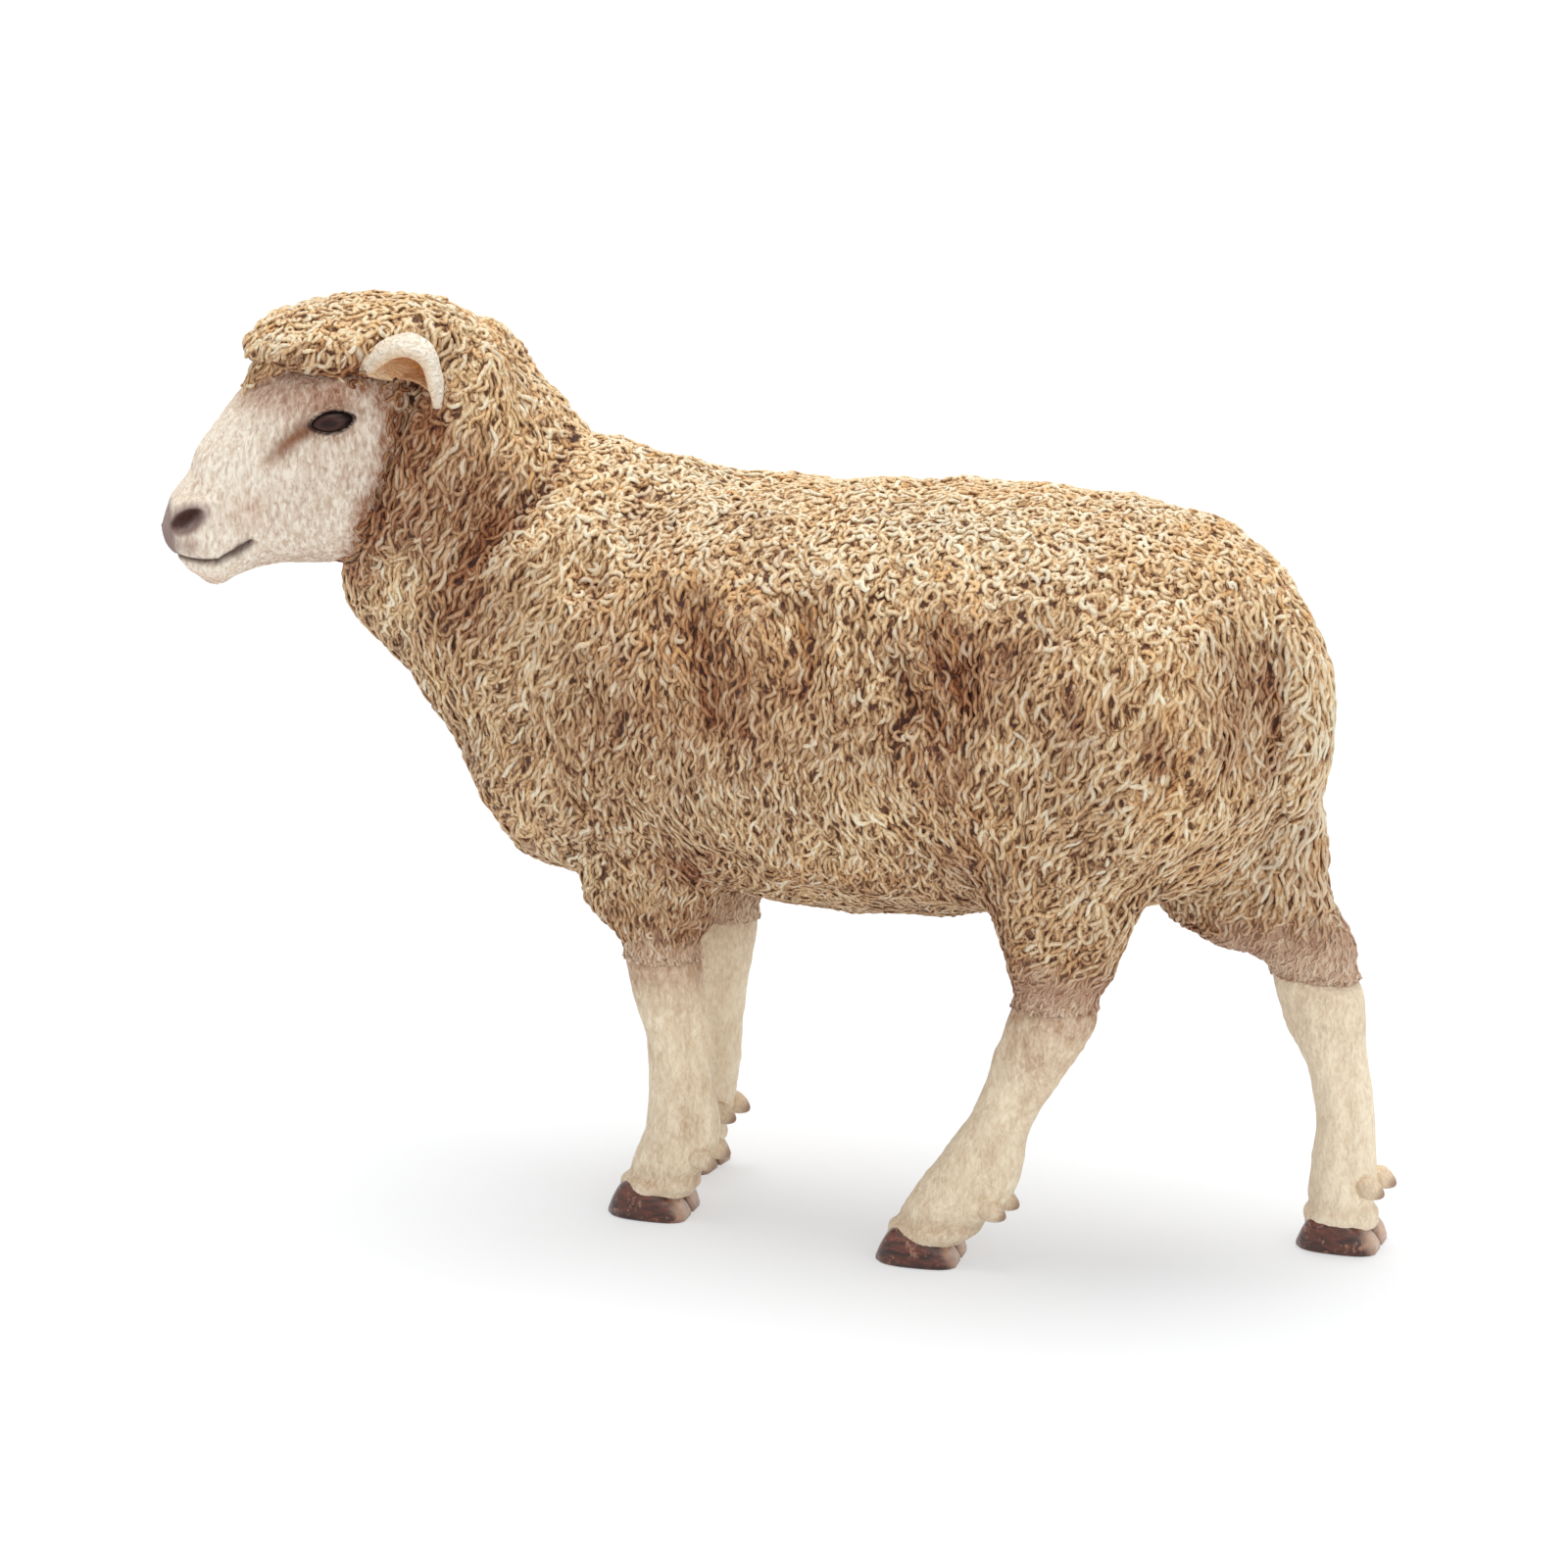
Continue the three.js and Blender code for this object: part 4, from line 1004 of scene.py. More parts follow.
    # brown wash and painted shade: darker behind the cheek along the hood's edge, round the eye, along the
    # jaw, under the cap, under the chin, towards the back of the face and on the brow
    wash = np.maximum.reduce([
        0.9 * (1 - cap) * (1 - ease(gap + loose, 0.3, look["hoodShade"])),
        0.3 * bell(fromEye - 1.3, 0.45) * onSide,
        0.25 * bell(awayFrom(flat, look["jaw"]), 1.2),
        0.45 * cap * (1 - ease(gap, 1.5, 6.0)),
        0.25 * ease(ahead, 15.5, 17.5) * ease(-rise, 8.0, 8.8),
    ]) + 0.3 * (1 - ease(ahead, 11.0, 17.5)) + 0.12 * ease(rise, 3.6, 6.0)
    blush = 0.3 * ease(-rise, 7.6, 8.6) * ease(ahead, 15.0, 18.0)
    blush += 0.35 * bell(span(flat - np.array([15.6, -3.4])), 1.6) * onSide
    blush += 0.12 * ease(ahead, 17.6, 20.5) + 0.3 * cap
    tearWidth = 0.72 - 0.3 * ease(ahead, 12.0, 14.4)
    smear = bell(awayFrom(flat, look["ridges"]["tear"][2]), tearWidth) * onSide
    masks = {
        "dark": np.maximum.reduce([lips, hole, rim * 1.2, 0.6 * cleft]),
        "nose": nosePad,
        "wash": wash + 0.12 * noise(points, 4.0, 53),
        "blush": blush,
        "fleece": hanging * (1 - ease(gap + loose, 1.6, look["capShade"])),
        "smear": smear * (1 - 0.45 * ease(ahead, 12.6, 14.4)),
    }
    masks = {name: np.clip(mask, 0, 1) for name, mask in masks.items()}
    return (placed, quads, fans), {"height": 0.5 + 0.5 * hairs * calm, **masks}


facePaint = {
    "low": paint(202, 172, 143),
    "high": paint(255, 245, 228),
    "blush": paint(226, 190, 174),
    "nose": paint(150, 124, 116),
    "dark": paint(68, 36, 28),
    "stainAndShade": paint(170, 128, 104),
    "smear": paint(158, 116, 90),
    "fleece": paint(206, 162, 112),
    "roughness": 0.6,
}


def faceMaterial(look):
    material, tree, shader = startMaterial("face")
    hair, speckle = hairsOf(tree, (1.0, 1.0, 0.4), 3600.0)
    lift = scaled(tree, hair, 2.2, -0.6)
    lift = scaled(tree, attribute(tree, "height"), 0.4, lift, clamp=True)
    colour = blend(tree, lift, look["low"], look["high"])
    for name in ("smear", "blush"):
        colour = blend(tree, attribute(tree, name), colour, look[name], "MULTIPLY")
    colour = washedAndShaded(tree, colour, lift, look["stainAndShade"])
    patchy = scaled(tree, hair, 2.4, -0.2)
    fleece = product(tree, attribute(tree, "fleece"), patchy, clamp=True)
    colour = blend(tree, fleece, colour, look["fleece"])
    nose = scaled(tree, speckle, 0.6, attribute(tree, "nose"))
    nose = product(tree, nose, attribute(tree, "nose"), clamp=True)
    colour = blend(tree, nose, colour, look["nose"])
    colour = blend(tree, attribute(tree, "dark"), colour, look["dark"])
    roughness = scaled(tree, attribute(tree, "nose"), -0.16, look["roughness"])
    roughness = scaled(tree, speckle, 0.15, roughness)
    dress(tree, shader, colour, roughness, hair, 0.26)
    shader.inputs["Specular IOR Level"].default_value = 0.35
    return material


faceShape, faceValues = faceSkin(faceLook)
facePiece = addPiece("face", faceShape, faceMaterial(facePaint), ("head",), faceValues)
bareShapes = [(faceShape[0], split(*faceShape[1:]))]
say("face")

# Eyes: glossy almonds, a little paler in the middle
eyeBuild = {
    "place": (9.2, 5.2, 3.68),
    "half": (1.72, 1.2, 0.88),
    "slit": (0.75, 0.36),
    "slant": 10,
    "toe": 12,
    "rings": 34,
    "sides": 48,
}
eyePaint = {"rim": paint(20, 11, 9), "iris": paint(70, 42, 36), "pupil": paint(30, 16, 13)}


def eyeMaterial(look):
    material, tree, shader = startMaterial("eye")
    iris = attribute(tree, "iris")
    place = node(tree, "ShaderNodeTexCoord").outputs["Object"]
    speckle = node(tree, "ShaderNodeTexNoise", {"Vector": place, "Scale": 3000.0, "Detail": 3.0}).outputs[0]
    mask = product(tree, iris, scaled(tree, speckle, 0.7, 0.6), clamp=True)
    colour = blend(tree, mask, look["rim"], look["iris"])
    colour = blend(tree, attribute(tree, "pupil"), colour, look["pupil"])
    dress(tree, shader, colour, scaled(tree, speckle, 0.14, 0.24), speckle, 0.01)
    shader.inputs["Specular IOR Level"].default_value = 0.18
    return material


def eyeball(build, side):
    # an egg (x/a)^2 + (y/b)^2 + (z/c)^2 = 1 in rings about its outward axis
    polar = np.linspace(0, math.pi, build["rings"])[1:-1]
    ahead, aside, above = build["half"]
    across = xyz(np.sin(polar) * ahead, 0, 0)
    upward = xyz(0, 0, np.sin(polar) * above)
    points, quads, fans = skinned(ovals(xyz(0, -np.cos(polar) * aside, 0), across, upward, build["sides"]))
    reach, slit = (
        np.sqrt((points[:, 0] / long) ** 2 + (points[:, 2] / high) ** 2)
        for long, high in ((ahead, above), build["slit"])
    )
    turn = turnAbout(2, -side * build["toe"]) @ turnAbout(1, build["slant"])
    place = np.array(build["place"]) * np.array([1, side, 1])
    # the outer part of the almond is the near-black rim: dark paint and painted shade from the lids
    values = {"iris": 1 - ease(reach, 0.5, 0.85), "pupil": 0.8 * (1 - ease(slit, 0.7, 1.1))}
    return (fromHead(points @ turn.T + place), quads, fans), values


eyeFinish = eyeMaterial(eyePaint)
for title, side in bothSides:
    shape, values = eyeball(eyeBuild, side)
    addPiece(title + "_eyeball", shape, eyeFinish, (title + "_eye",), values)
say("eyes")

# Ears: a thin dish hung from its upper edge, open aside and below, with a thick pale rolled rim
earBuild = {
    "deepEnd": (4.4, 5.7, 6.7),  # ahead, aside and above the head's root
    "droop": {"left": 0.0, "right": 0.34},  # how far the ear hangs for each millimetre aside
    "wall": 0.44,
    "steps": 76,
    "sides": 84,
    "squareness": 3.4,
    "horizon": [  # place along the upper edge, ahead, aside, above
        [0, 7.1, 4.8, 7.3], [0.09, 6.85, 5.4, 8.0], [0.207, 6.3, 6.2, 8.9], [0.34, 5.4, 7.0, 9.9],
        [0.43, 4.5, 7.5, 10.5], [0.54, 3.2, 8.0, 10.7], [0.65, 1.95, 8.4, 10.0], [0.76, 1.4, 8.7, 8.6],
        [0.88, 1.15, 9.0, 7.0], [1, 1.3, 9.2, 5.4],
    ],
    "section": [  # across the strip: share of the way in, share of the way down to the deep end, outward
        [0, 0.33, 0, 1.15], [0.1, 0.22, 0, 1.15], [0.2, 0.08, 0, 0.72], [0.3, 0, 0, 0],
        [0.45, 0.05, 0.3, 0], [0.6, 0.18, 0.62, 0], [0.8, 0.52, 0.92, 0], [1, 0.92, 1, 0],
    ],
}


def earStrip(build, across):
    # at each place along the horizon: horizon + in * (deep end - horizon), rolled outward at its rim
    place = np.linspace(0, 1, build["steps"])
    horizon = along(build["horizon"], place)[:, None]
    inward, down, outward = along(build["section"], across).T[:, None]
    kept = 1 - 0.9 * ease(place, 0.74, 1.0)[:, None]
    inward = inward * np.where(across > 0.3, kept, 1 - 0.45 * ease(place, 0.84, 1.0)[:, None])
    toDeep = np.array(build["deepEnd"]) - horizon
    rolled = outward * (1 - ease(np.abs(place - 0.5), 0.34, 0.5) * np.where(place > 0.5, 0.45, 0.8))[:, None]
    return horizon + toDeep * xyz(inward, down * kept, inward) + xyz(0, rolled, 0)


def earHood(build):
    # the strip with a wall either way: round each section goes an oval drawn flat
    angle = onceRound(build["sides"])
    across = 0.5 - 0.5 * wave(angle, build["squareness"])
    middle = earStrip(build, across)
    nearer = earStrip(build, np.maximum(across - 0.02, 0))
    further = earStrip(build, np.minimum(across + 0.02, 1))
    outer = unit(np.cross(np.gradient(middle, axis=0), further - nearer))
    place = np.linspace(0, 1, build["steps"])[:, None]
    thick = build["wall"] / 2 * (1 + 0.5 * (1 - ease(across, 0.1, 0.35)))
    thick = thick * (1 - 0.5 * ease(place, 0.88, 1.0))
    either = wave(angle - math.pi / 2, build["squareness"])
    points, quads, fans = skinned(middle + outer * (thick * either)[..., None])
    # the ear's tan lining and brown hollow, partly painted shade: darker on the undersides of the strip,
    # along the rolled rim's inside, towards the front and deep in the hollow
    within = ease(-either, -0.2, 0.9) * ease(across, 0.0, 0.36)
    deep = within * ease(across, 0.16, 0.34) * (1 - 0.7 * ease(across, 0.7, 1.0))
    deep = deep * ease(place, 0.2, 0.5) * (1 - ease(place, 0.84, 1.0))
    deep = np.maximum(deep, 0.55 * ease(across, 0.6, 0.85) * ease(place, 0.1, 0.3))
    edge = 0.7 * (1 - ease(across, 0.02, 0.16)) + 0.25 * (1 - ease(place, 0.3, 0.6))
    liningAndShade = np.clip(np.maximum(np.maximum(within, ease(across, 0.5, 0.8)), edge), 0, 1)
    values = {"inside": np.append(deep.ravel(), [0, 0]), "liningAndShade": np.append(liningAndShade.ravel(), [0, 0])}
    lumps = 0.05 * noise(points, 0.7, 61)
    return (points + normalsOf(points, split(quads, fans)) * lumps[:, None], quads, fans), values


earPaint = {
    "low": paint(222, 202, 174),
    "high": paint(255, 248, 234),
    "liningAndShade": paint(226, 180, 128),
    "deep": paint(200, 130, 68),
    "roughness": 0.6,
}


def earMaterial(look):
    material, tree, shader = startMaterial("ear")
    hair, speckle = hairsOf(tree, (0.6, 0.5, 1.0), 4200.0)
    colour = blend(tree, scaled(tree, hair, 2.6, -0.7, clamp=True), look["low"], look["high"])
    # the tan lining and the brown hollow, with painted shade on the undersides and in the hollow
    colour = blend(tree, product(tree, attribute(tree, "liningAndShade"), 0.8), colour, look["liningAndShade"])
    patchy = scaled(tree, speckle, 0.8, 0.6)
    inside = product(tree, attribute(tree, "inside"), patchy, clamp=True)
    colour = blend(tree, inside, colour, look["deep"])
    dress(tree, shader, colour, scaled(tree, speckle, 0.2, look["roughness"] - 0.1), hair, 0.36)
    return material


earFinish = earMaterial(earPaint)
earHoods = []
for title, side in bothSides:
    (points, quads, fans), values = earHood(earBuild)
    points[:, 2] -= earBuild["droop"][title] * np.maximum(points[:, 1] - earBuild["horizon"][0][2], 0)
    points = fromHead(points * np.array([1, side, 1]))
    shape = (points, quads, fans)
    hood = addPiece(title + "_ear_hood", shape, earFinish, (title + "_ear",), values)
    earHoods.append((title, points, split(quads, fans), hood))
    bareShapes.append((points, split(quads, fans)))
earShape = makeMesh("ears", *joined(bareShapes[1:]))
say("ears")

# Shanks: bony below the wool, with a groove before the tendon, a fetlock and two dewclaws
shankBuild = {
    "bottom": 1.7,
    "rings": 130,
    "sides": 64,
    "groove": 0.2,
    "dewclawHalf": (1.15, 0.86, 0.84),
    "dewclawRow": 2,
    "dewclawSpread": 0.3,
    "dewclawBack": 1.06,
    "dewclawRise": 0.6,
    "dewclawTilt": -22,
    "dewclawRings": 16,
    "dewclawSides": 20,
}


def shankSkin(name, build):
    leg = legs[name]
    rises = np.linspace(build["bottom"], topOf(name), build["rings"])
    points, quads, fans = skinned(shankRings(name, rises, build["sides"]))
    normals = normalsOf(points, split(quads, fans))
    angle = np.append(np.tile(onceRound(build["sides"]), build["rings"]), [0, 0])
    rise = points[:, 2]
    slim = ease(rise, 4.5, 7.0) * ease(-rise, -19.0, -15.0)
    groove = bell(np.abs(np.abs(angle - math.pi) - 1.05), 0.3)
    move = -build["groove"] * groove * slim
    move += 0.22 * bell(np.minimum(angle, 2 * math.pi - angle), 0.8) * bell(rise - 17.0, 1.6)
    move -= 0.16 * bell(rise - 3.4, 0.5)
    move += 0.2 * bell(rise - 2.6, 0.45)
    hairs = noise(points, (0.34, 0.34, 1.0), 71)
    move += 0.07 * hairs + 0.12 * noise(points, 2.4, 72)
    points = points + normals * move[:, None]
    # brown wash and painted shade: the band where the wool ends, the knee and hock, just under the hem, the
    # groove and the fetlock are darker
    wash = legWashAndShade(leg, rise) + 0.35 * bell(rise - (17.5 if name.startswith("rear") else 18.5), 2.4)
    wash += 0.55 * ease(rise - leg["hem"], -3.4, 0.6)
    wash += 0.2 * groove * slim + 0.25 * bell(rise - 3.2, 0.7)
    wash += 0.16 * noise(points, 2.6, 73)
    # painted light: the far, right legs lie in the body's shade, so they are painted paler and with less
    # wash
    left = name.endswith("left")
    wash *= 1.0 if left else 0.6
    height = 0.55 + 0.45 * hairs if left else 0.85 + 0.3 * hairs
    values = {"height": height, "wash": np.clip(wash, 0, 1), "horn": np.zeros(len(points))}
    return points, quads, fans, values


def dewclaws(name, build):
    # two eggs behind the fetlock, each with its narrow end pointing back and down
    up, ahead, length, _ = shankRows[name][build["dewclawRow"]]
    back = legBuild["bellyHeight"] * ahead - legBuild["thickness"] * length * build["dewclawBack"]
    polar = np.linspace(0, math.pi, build["dewclawRings"])[1:-1]
    swell = np.sin(polar) * (1 - 0.3 * np.cos(polar))
    long, wide, high = build["dewclawHalf"]
    shapes = []
    for side in (-1, 1):
        across, upward = xyz(0, swell * wide, 0), xyz(0, 0, swell * high)
        centre = xyz(np.cos(polar) * -long, 0, 0)
        points, quads, fans = skinned(ovals(centre, across, upward, build["dewclawSides"]))
        horn = 0.8 * ease(-points[:, 0], 0.4, 1.1)
        spread = side * legBuild["thickness"] * build["dewclawSpread"]
        place = np.array([back, spread, legBuild["bellyHeight"] * up + build["dewclawRise"]])
        points = points @ turnAbout(1, build["dewclawTilt"]).T + place + hipOf(legs[name])
        shapes.append((points, quads, fans, horn))
    return shapes


shankPaint = {
    "low": paint(213, 183, 147),
    "high": paint(255, 240, 212),
    "stainAndShade": paint(174, 134, 110),
    "horn": paint(142, 102, 82),
    "roughness": 0.6,
}


def shankMaterial(look):
    material, tree, shader = startMaterial("shank")
    hair, speckle = hairsOf(tree, (1.0, 1.0, 0.45), 4200.0)
    lift = scaled(tree, hair, 1.5, -0.45)
    lift = scaled(tree, attribute(tree, "height"), 0.6, lift, clamp=True)
    colour = blend(tree, lift, look["low"], look["high"])
    colour = washedAndShaded(tree, colour, lift, look["stainAndShade"])
    colour = blend(tree, attribute(tree, "horn"), colour, look["horn"])
    roughness = scaled(tree, speckle, 0.2, look["roughness"] - 0.1)
    roughness = scaled(tree, attribute(tree, "horn"), -0.2, roughness)
    dress(tree, shader, colour, roughness, hair, 0.14)
    shader.inputs["Specular IOR Level"].default_value = 0.35
    return material


shankFinish = shankMaterial(shankPaint)
for name in legs:
    points, quads, fans, values = shankSkin(name, shankBuild)
    for bud, budQuads, budFans, horn in dewclaws(name, shankBuild):
        quads = np.concatenate([quads, budQuads + len(points)])
        fans = np.concatenate([fans, budFans + len(points)])
        points = np.concatenate([points, bud])
        for key, more in (("height", 0.6), ("wash", 0.25), ("horn", horn)):
            values[key] = np.append(values[key], np.broadcast_to(more, len(bud)))
    addPiece(name + "_shank", (points, quads, fans), shankFinish, (name + "_leg",), values)
say("shanks")

# Claws: flat soled, straight between the two toes and rounded outside, with a soft pale heel
clawBuild = {
    "length": 6.3,
    "width": 2.8,
    "height": 2.9,
    "gap": 0.4,
    "reach": 0.52,
    "sections": 44,
    "sides": 40,
    "squareness": 2.9,
    "sole": 0.02,
    "topLine": [  # share of the way to the toe, and of the height
        [0, 0.22], [0.06, 0.46], [0.2, 0.7], [0.45, 0.88], [0.7, 0.98], [0.82, 0.88], [0.93, 0.5], [1, 0.16],
    ],
    "halfWidth": [[0, 0.3], [0.06, 0.41], [0.2, 0.49], [0.5, 0.5], [0.75, 0.45], [0.9, 0.34], [1, 0.16]],
}


def clawSkin(name, side, build):
    # upright sections from heel to toe, each a squarish oval cut flat at the sole
    place = (1 - np.cos(np.linspace(0, math.pi, build["sections"]))) / 2
    tall = along(build["topLine"], place)[:, 0] * build["height"]
    half = along(build["halfWidth"], place)[:, 0] * build["width"]
    x = build["length"] * (build["reach"] - 1 + place)
    lean = build["gap"] / 2 + 0.5 * build["width"] - (0.5 * build["width"] - half) * 0.75
    centre = xyz(x, side * lean, tall * 0.42)
    rings = ovals(centre, xyz(0, half, 0), xyz(0, 0, tall * 0.58), build["sides"], build["squareness"])
    flare = 1 + 0.08 * ease(1.2 - rings[..., 2], 0, 1.2)
    rings[..., 1] = side * lean[:, None] + (rings[..., 1] - side * lean[:, None]) * flare
    rings[..., 2] = np.maximum(rings[..., 2], build["sole"])
    points, quads, fans = skinned(rings)
    heel = 1 - ease(points[:, 0] - 0.4 * points[:, 2], -3.4, -2.4)
    growth = noise(points, (3.0, 3.0, 0.32), 81)
    leg = legs[name]
    start = hipOf(leg) + np.array([legBuild["bellyHeight"] * shankRows[name][0][1], 0, 0])
    points = points @ turnAbout(2, leg["toe"]).T + start
    return (points, quads, fans), {"heel": heel, "growth": 0.5 + 0.5 * growth}


clawPaint = {
    "low": paint(50, 21, 12),
    "high": paint(122, 62, 42),
    "heel": paint(214, 178, 152),
    "edge": paint(206, 152, 126),
    "roughness": 0.32,
}


def clawMaterial(look):
    material, tree, shader = startMaterial("claw")
    hair, speckle = hairsOf(tree, (0.5, 0.5, 1.6), 1500.0)
    rough = scaled(tree, hair, 2.4, -1.15)
    streak = scaled(tree, attribute(tree, "growth"), 0.5, rough, clamp=True)
    colour = blend(tree, streak, look["low"], look["high"])
    patchy = scaled(tree, speckle, 1.4, 0.2)
    heel = product(tree, attribute(tree, "heel"), patchy, clamp=True)
    colour = blend(tree, heel, colour, look["heel"])
    fine, _ = hairsOf(tree, (1.0, 1.0, 1.0), 2600.0)
    worn = scaled(tree, fine, 0.7, -0.36)
    worn = scaled(tree, speckle, 0.55, worn)
    worn = scaled(tree, worn, 10.0, -3.2, clamp=True)
    colour = blend(tree, product(tree, worn, 0.5), colour, look["edge"])
    dress(tree, shader, colour, scaled(tree, speckle, 0.3, look["roughness"] - 0.15), streak, 0.08)
    shader.inputs["Coat Weight"].default_value = 0.2
    shader.inputs["Coat Roughness"].default_value = 0.2
    return material


clawFinish = clawMaterial(clawPaint)
for name, leg in legs.items():
    outward = 1 if leg["aside"] > 0 else -1
    for title, side in (("outer", outward), ("inner", -outward)):
        shape, values = clawSkin(name, side, clawBuild)
        clawName = f"{name}_{title}_claw"
        addPiece(clawName + "_horn", shape, clawFinish, (clawName,), values)
say("claws")

# Curls: each is a tapered strand laid on the coat, wavy down the flanks and ringed on the back
curlBuild = {
    "tried": 7,  # places tried on each square millimetre
    "across": (0.35, 0.46),  # least distance between roots side by side, on the flanks and on the back
    "along": (1.0, 0.58),  # the same one behind the other
    "rings": 7,
    "sides": 5,
    "tips": (-0.25, 0.3),  # how far ahead of its first and its last ring its two ends lie, in widths
    "length": (1.2, 2.0),
    "longer": 0.6,  # how much longer than on the back a lock is low on the flanks, on neck and thighs
    "finer": 0.2,  # how much finer it is low on the flanks
    "width": (0.36, 0.54),
    "thickness": (0.26, 0.36),
    "rise": (-0.04, 0.18),
    "bareMargin": 0.3,
    "creaseBare": 0.68,
    "hemSmall": 0.48,
    "fringe": (4.2, 0.7),  # how far short curls reach past the cap and past the rest of the hood
    "pieceMost": 2700,
}


def scatter(points, triangles, perArea, random):
    # places spread over the triangles by their area: a point at random in each triangle drawn
    a, b, c = (points[triangles[:, corner]] for corner in range(3))
    area = span(np.cross(b - a, c - a)) / 2
    count = int(area.sum() * perArea)
    chosen = random.choice(len(triangles), count, p=area / area.sum())
    first = np.sqrt(random.random(count))[:, None]
    second = random.random(count)[:, None]
    places = (1 - first) * a[chosen] + first * (1 - second) * b[chosen] + first * second * c[chosen]
    return places, chosen


def dot(first, second):
    return np.einsum("ij,ij->i", first, second)


def closePairs(points, normals, way, across, along):
    # pairs in neighbouring cells, kept where the second lies in the oval round the first
    side = np.cross(normals, way)
    cell = np.floor(points / along.max()).astype(np.int64)
    cell -= cell.min(axis=0) - 1
    size = cell.max(axis=0) + 2
    key = (cell[:, 0] * size[1] + cell[:, 1]) * size[2] + cell[:, 2]
    order = np.argsort(key)
    pairs = []
    for shift in np.array(list(np.ndindex(3, 3, 3)))[13:] - 1:
        sought = key + (shift[0] * size[1] + shift[1]) * size[2] + shift[2]
        start = np.searchsorted(key[order], sought, "left")
        found = np.searchsorted(key[order], sought, "right") - start
        first = np.repeat(np.arange(len(points)), found)
        within = np.arange(found.sum()) - np.repeat(np.cumsum(found) - found, found)
        second = order[start[first] + within]
        between = points[second] - points[first]
        beside = dot(between, side[first]) / across[first]
        behind = dot(between, way[first]) / along[first]
        above = dot(between, normals[first]) / across[first]
        near = (beside**2 + behind**2 + above**2 < 1) & (first != second)
        pairs.append(np.stack([first[near], second[near]]))
    pairs = np.concatenate(pairs, axis=1)
    return np.concatenate([pairs, pairs[::-1]], axis=1)


def packed(count, pairs, random):
    # in a random order each place is taken, unless one that makes a pair with it has been
    first, second = pairs
    rank = random.permutation(count)
    free = np.ones(count, bool)
    taken = np.zeros(count, bool)
    while free.any():
        live = free[first] & free[second]
        first, second = first[live], second[live]
        lowest = rank.copy()
        np.minimum.at(lowest, first, rank[second])
        chosen = free & (lowest == rank)
        taken |= chosen
        free &= ~chosen
        free[second[chosen[first]]] = False
    return np.flatnonzero(taken)


def lie(points, normals):
    # which way the wool lies: down the flanks, down and forward on neck and thighs, anyhow on the back
    x, z = points[:, 0], points[:, 2]
    thigh = ease(-x, 17, 24) * ease(-x, -60, -38) * ease(56 - z, 4, 14)
    way = xyz(0.5 * ease(x, 6, 14) + 0.6 * thigh, 0, -1.0)
    way = way + 0.35 * xyz(noise(points, 3.2, 32), 0, 0)
    top = ease(normals[:, 2], 0.3, 0.75)
    spin = math.pi * noise(points, 6.0, 31) * 2
    free = np.maximum(top, ease(-normals[:, 2], 0.6, 0.9))[:, None]
    way = way * (1 - free) + xyz(np.cos(spin), np.sin(spin), 0) * free
    return unit(way - normals * (way * normals).sum(axis=1, keepdims=True)), top


def curls(roots, normals, way, look, target):
    # a heading h + k t + a sin(2 pi (f t + p)) is followed step by step over the surface; round that
    # line goes an oval that swells from its root and tapers to its tip
    rings, sides = curlBuild["rings"], curlBuild["sides"]
    look = {key: value[:, None] for key, value in look.items()}
    t = np.linspace(0, 1, rings)[None, :]
    swing = look["swing"] * np.sin(2 * math.pi * (look["beat"] * t + look["phase"]))
    heading = look["turn"] + look["curl"] * (t - 0.35) + swing
    side = np.cross(normals, way)
    step = np.cos(heading)[..., None] * way[:, None] + np.sin(heading)[..., None] * side[:, None]
    path = np.cumsum(step, axis=1) * (look["length"][..., None] / (rings - 1))
    path = path - path.mean(axis=1, keepdims=True)
    line = ontoSurface((roots[:, None] + path).reshape(-1, 3), target).reshape(path.shape)
    arch = np.sin(math.pi * np.clip(t * 0.86 + 0.1, 0, 1)) ** 0.8
    lift = look["rise"] * arch - 0.1 * (1 - arch)
    line = line + normals[:, None] * lift[..., None]
    ahead = unit(np.gradient(line, axis=1))
    across = unit(np.cross(normals[:, None], ahead))
    upward = np.cross(ahead, across)
    taper = np.sin(math.pi * np.clip(t * 0.76 + 0.16, 0, 1)) ** 0.6
    angle = onceRound(sides) + math.pi / 2
    wide = (look["width"] / 2 * taper)[..., None, None]
    tall = (look["thickness"] / 2 * taper)[..., None, None]
    beside = across[:, :, None] * wide * np.cos(angle)[:, None]
    above = upward[:, :, None] * tall * np.sin(angle)[:, None]
    skin = line[:, :, None] + beside + above
    tips = np.array(curlBuild["tips"])[:, None] * look["width"][..., None]
    ends = line[:, [0, -1]] + ahead[:, [0, -1]] * tips
    points = np.concatenate([skin.reshape(len(roots), -1, 3), ends], axis=1)
    crest = 0.5 + 0.5 * np.broadcast_to(np.sin(angle), (len(roots), rings, sides))
    height = 0.16 + 0.7 * crest**1.3 * (0.4 + 0.6 * arch[..., None]) + look["bright"][..., None]
    height = np.concatenate([height.reshape(len(roots), -1), np.full((len(roots), 2), 0.3)], axis=1)
    return points, height


def lowFlank(points):
    # 1 on the lower half of the ribs, where the wool is fine and lies flat
    return ease(-points[:, 2], -46, -37) * ease(points[:, 0], -22, -16) * ease(-points[:, 0], -12, -5)


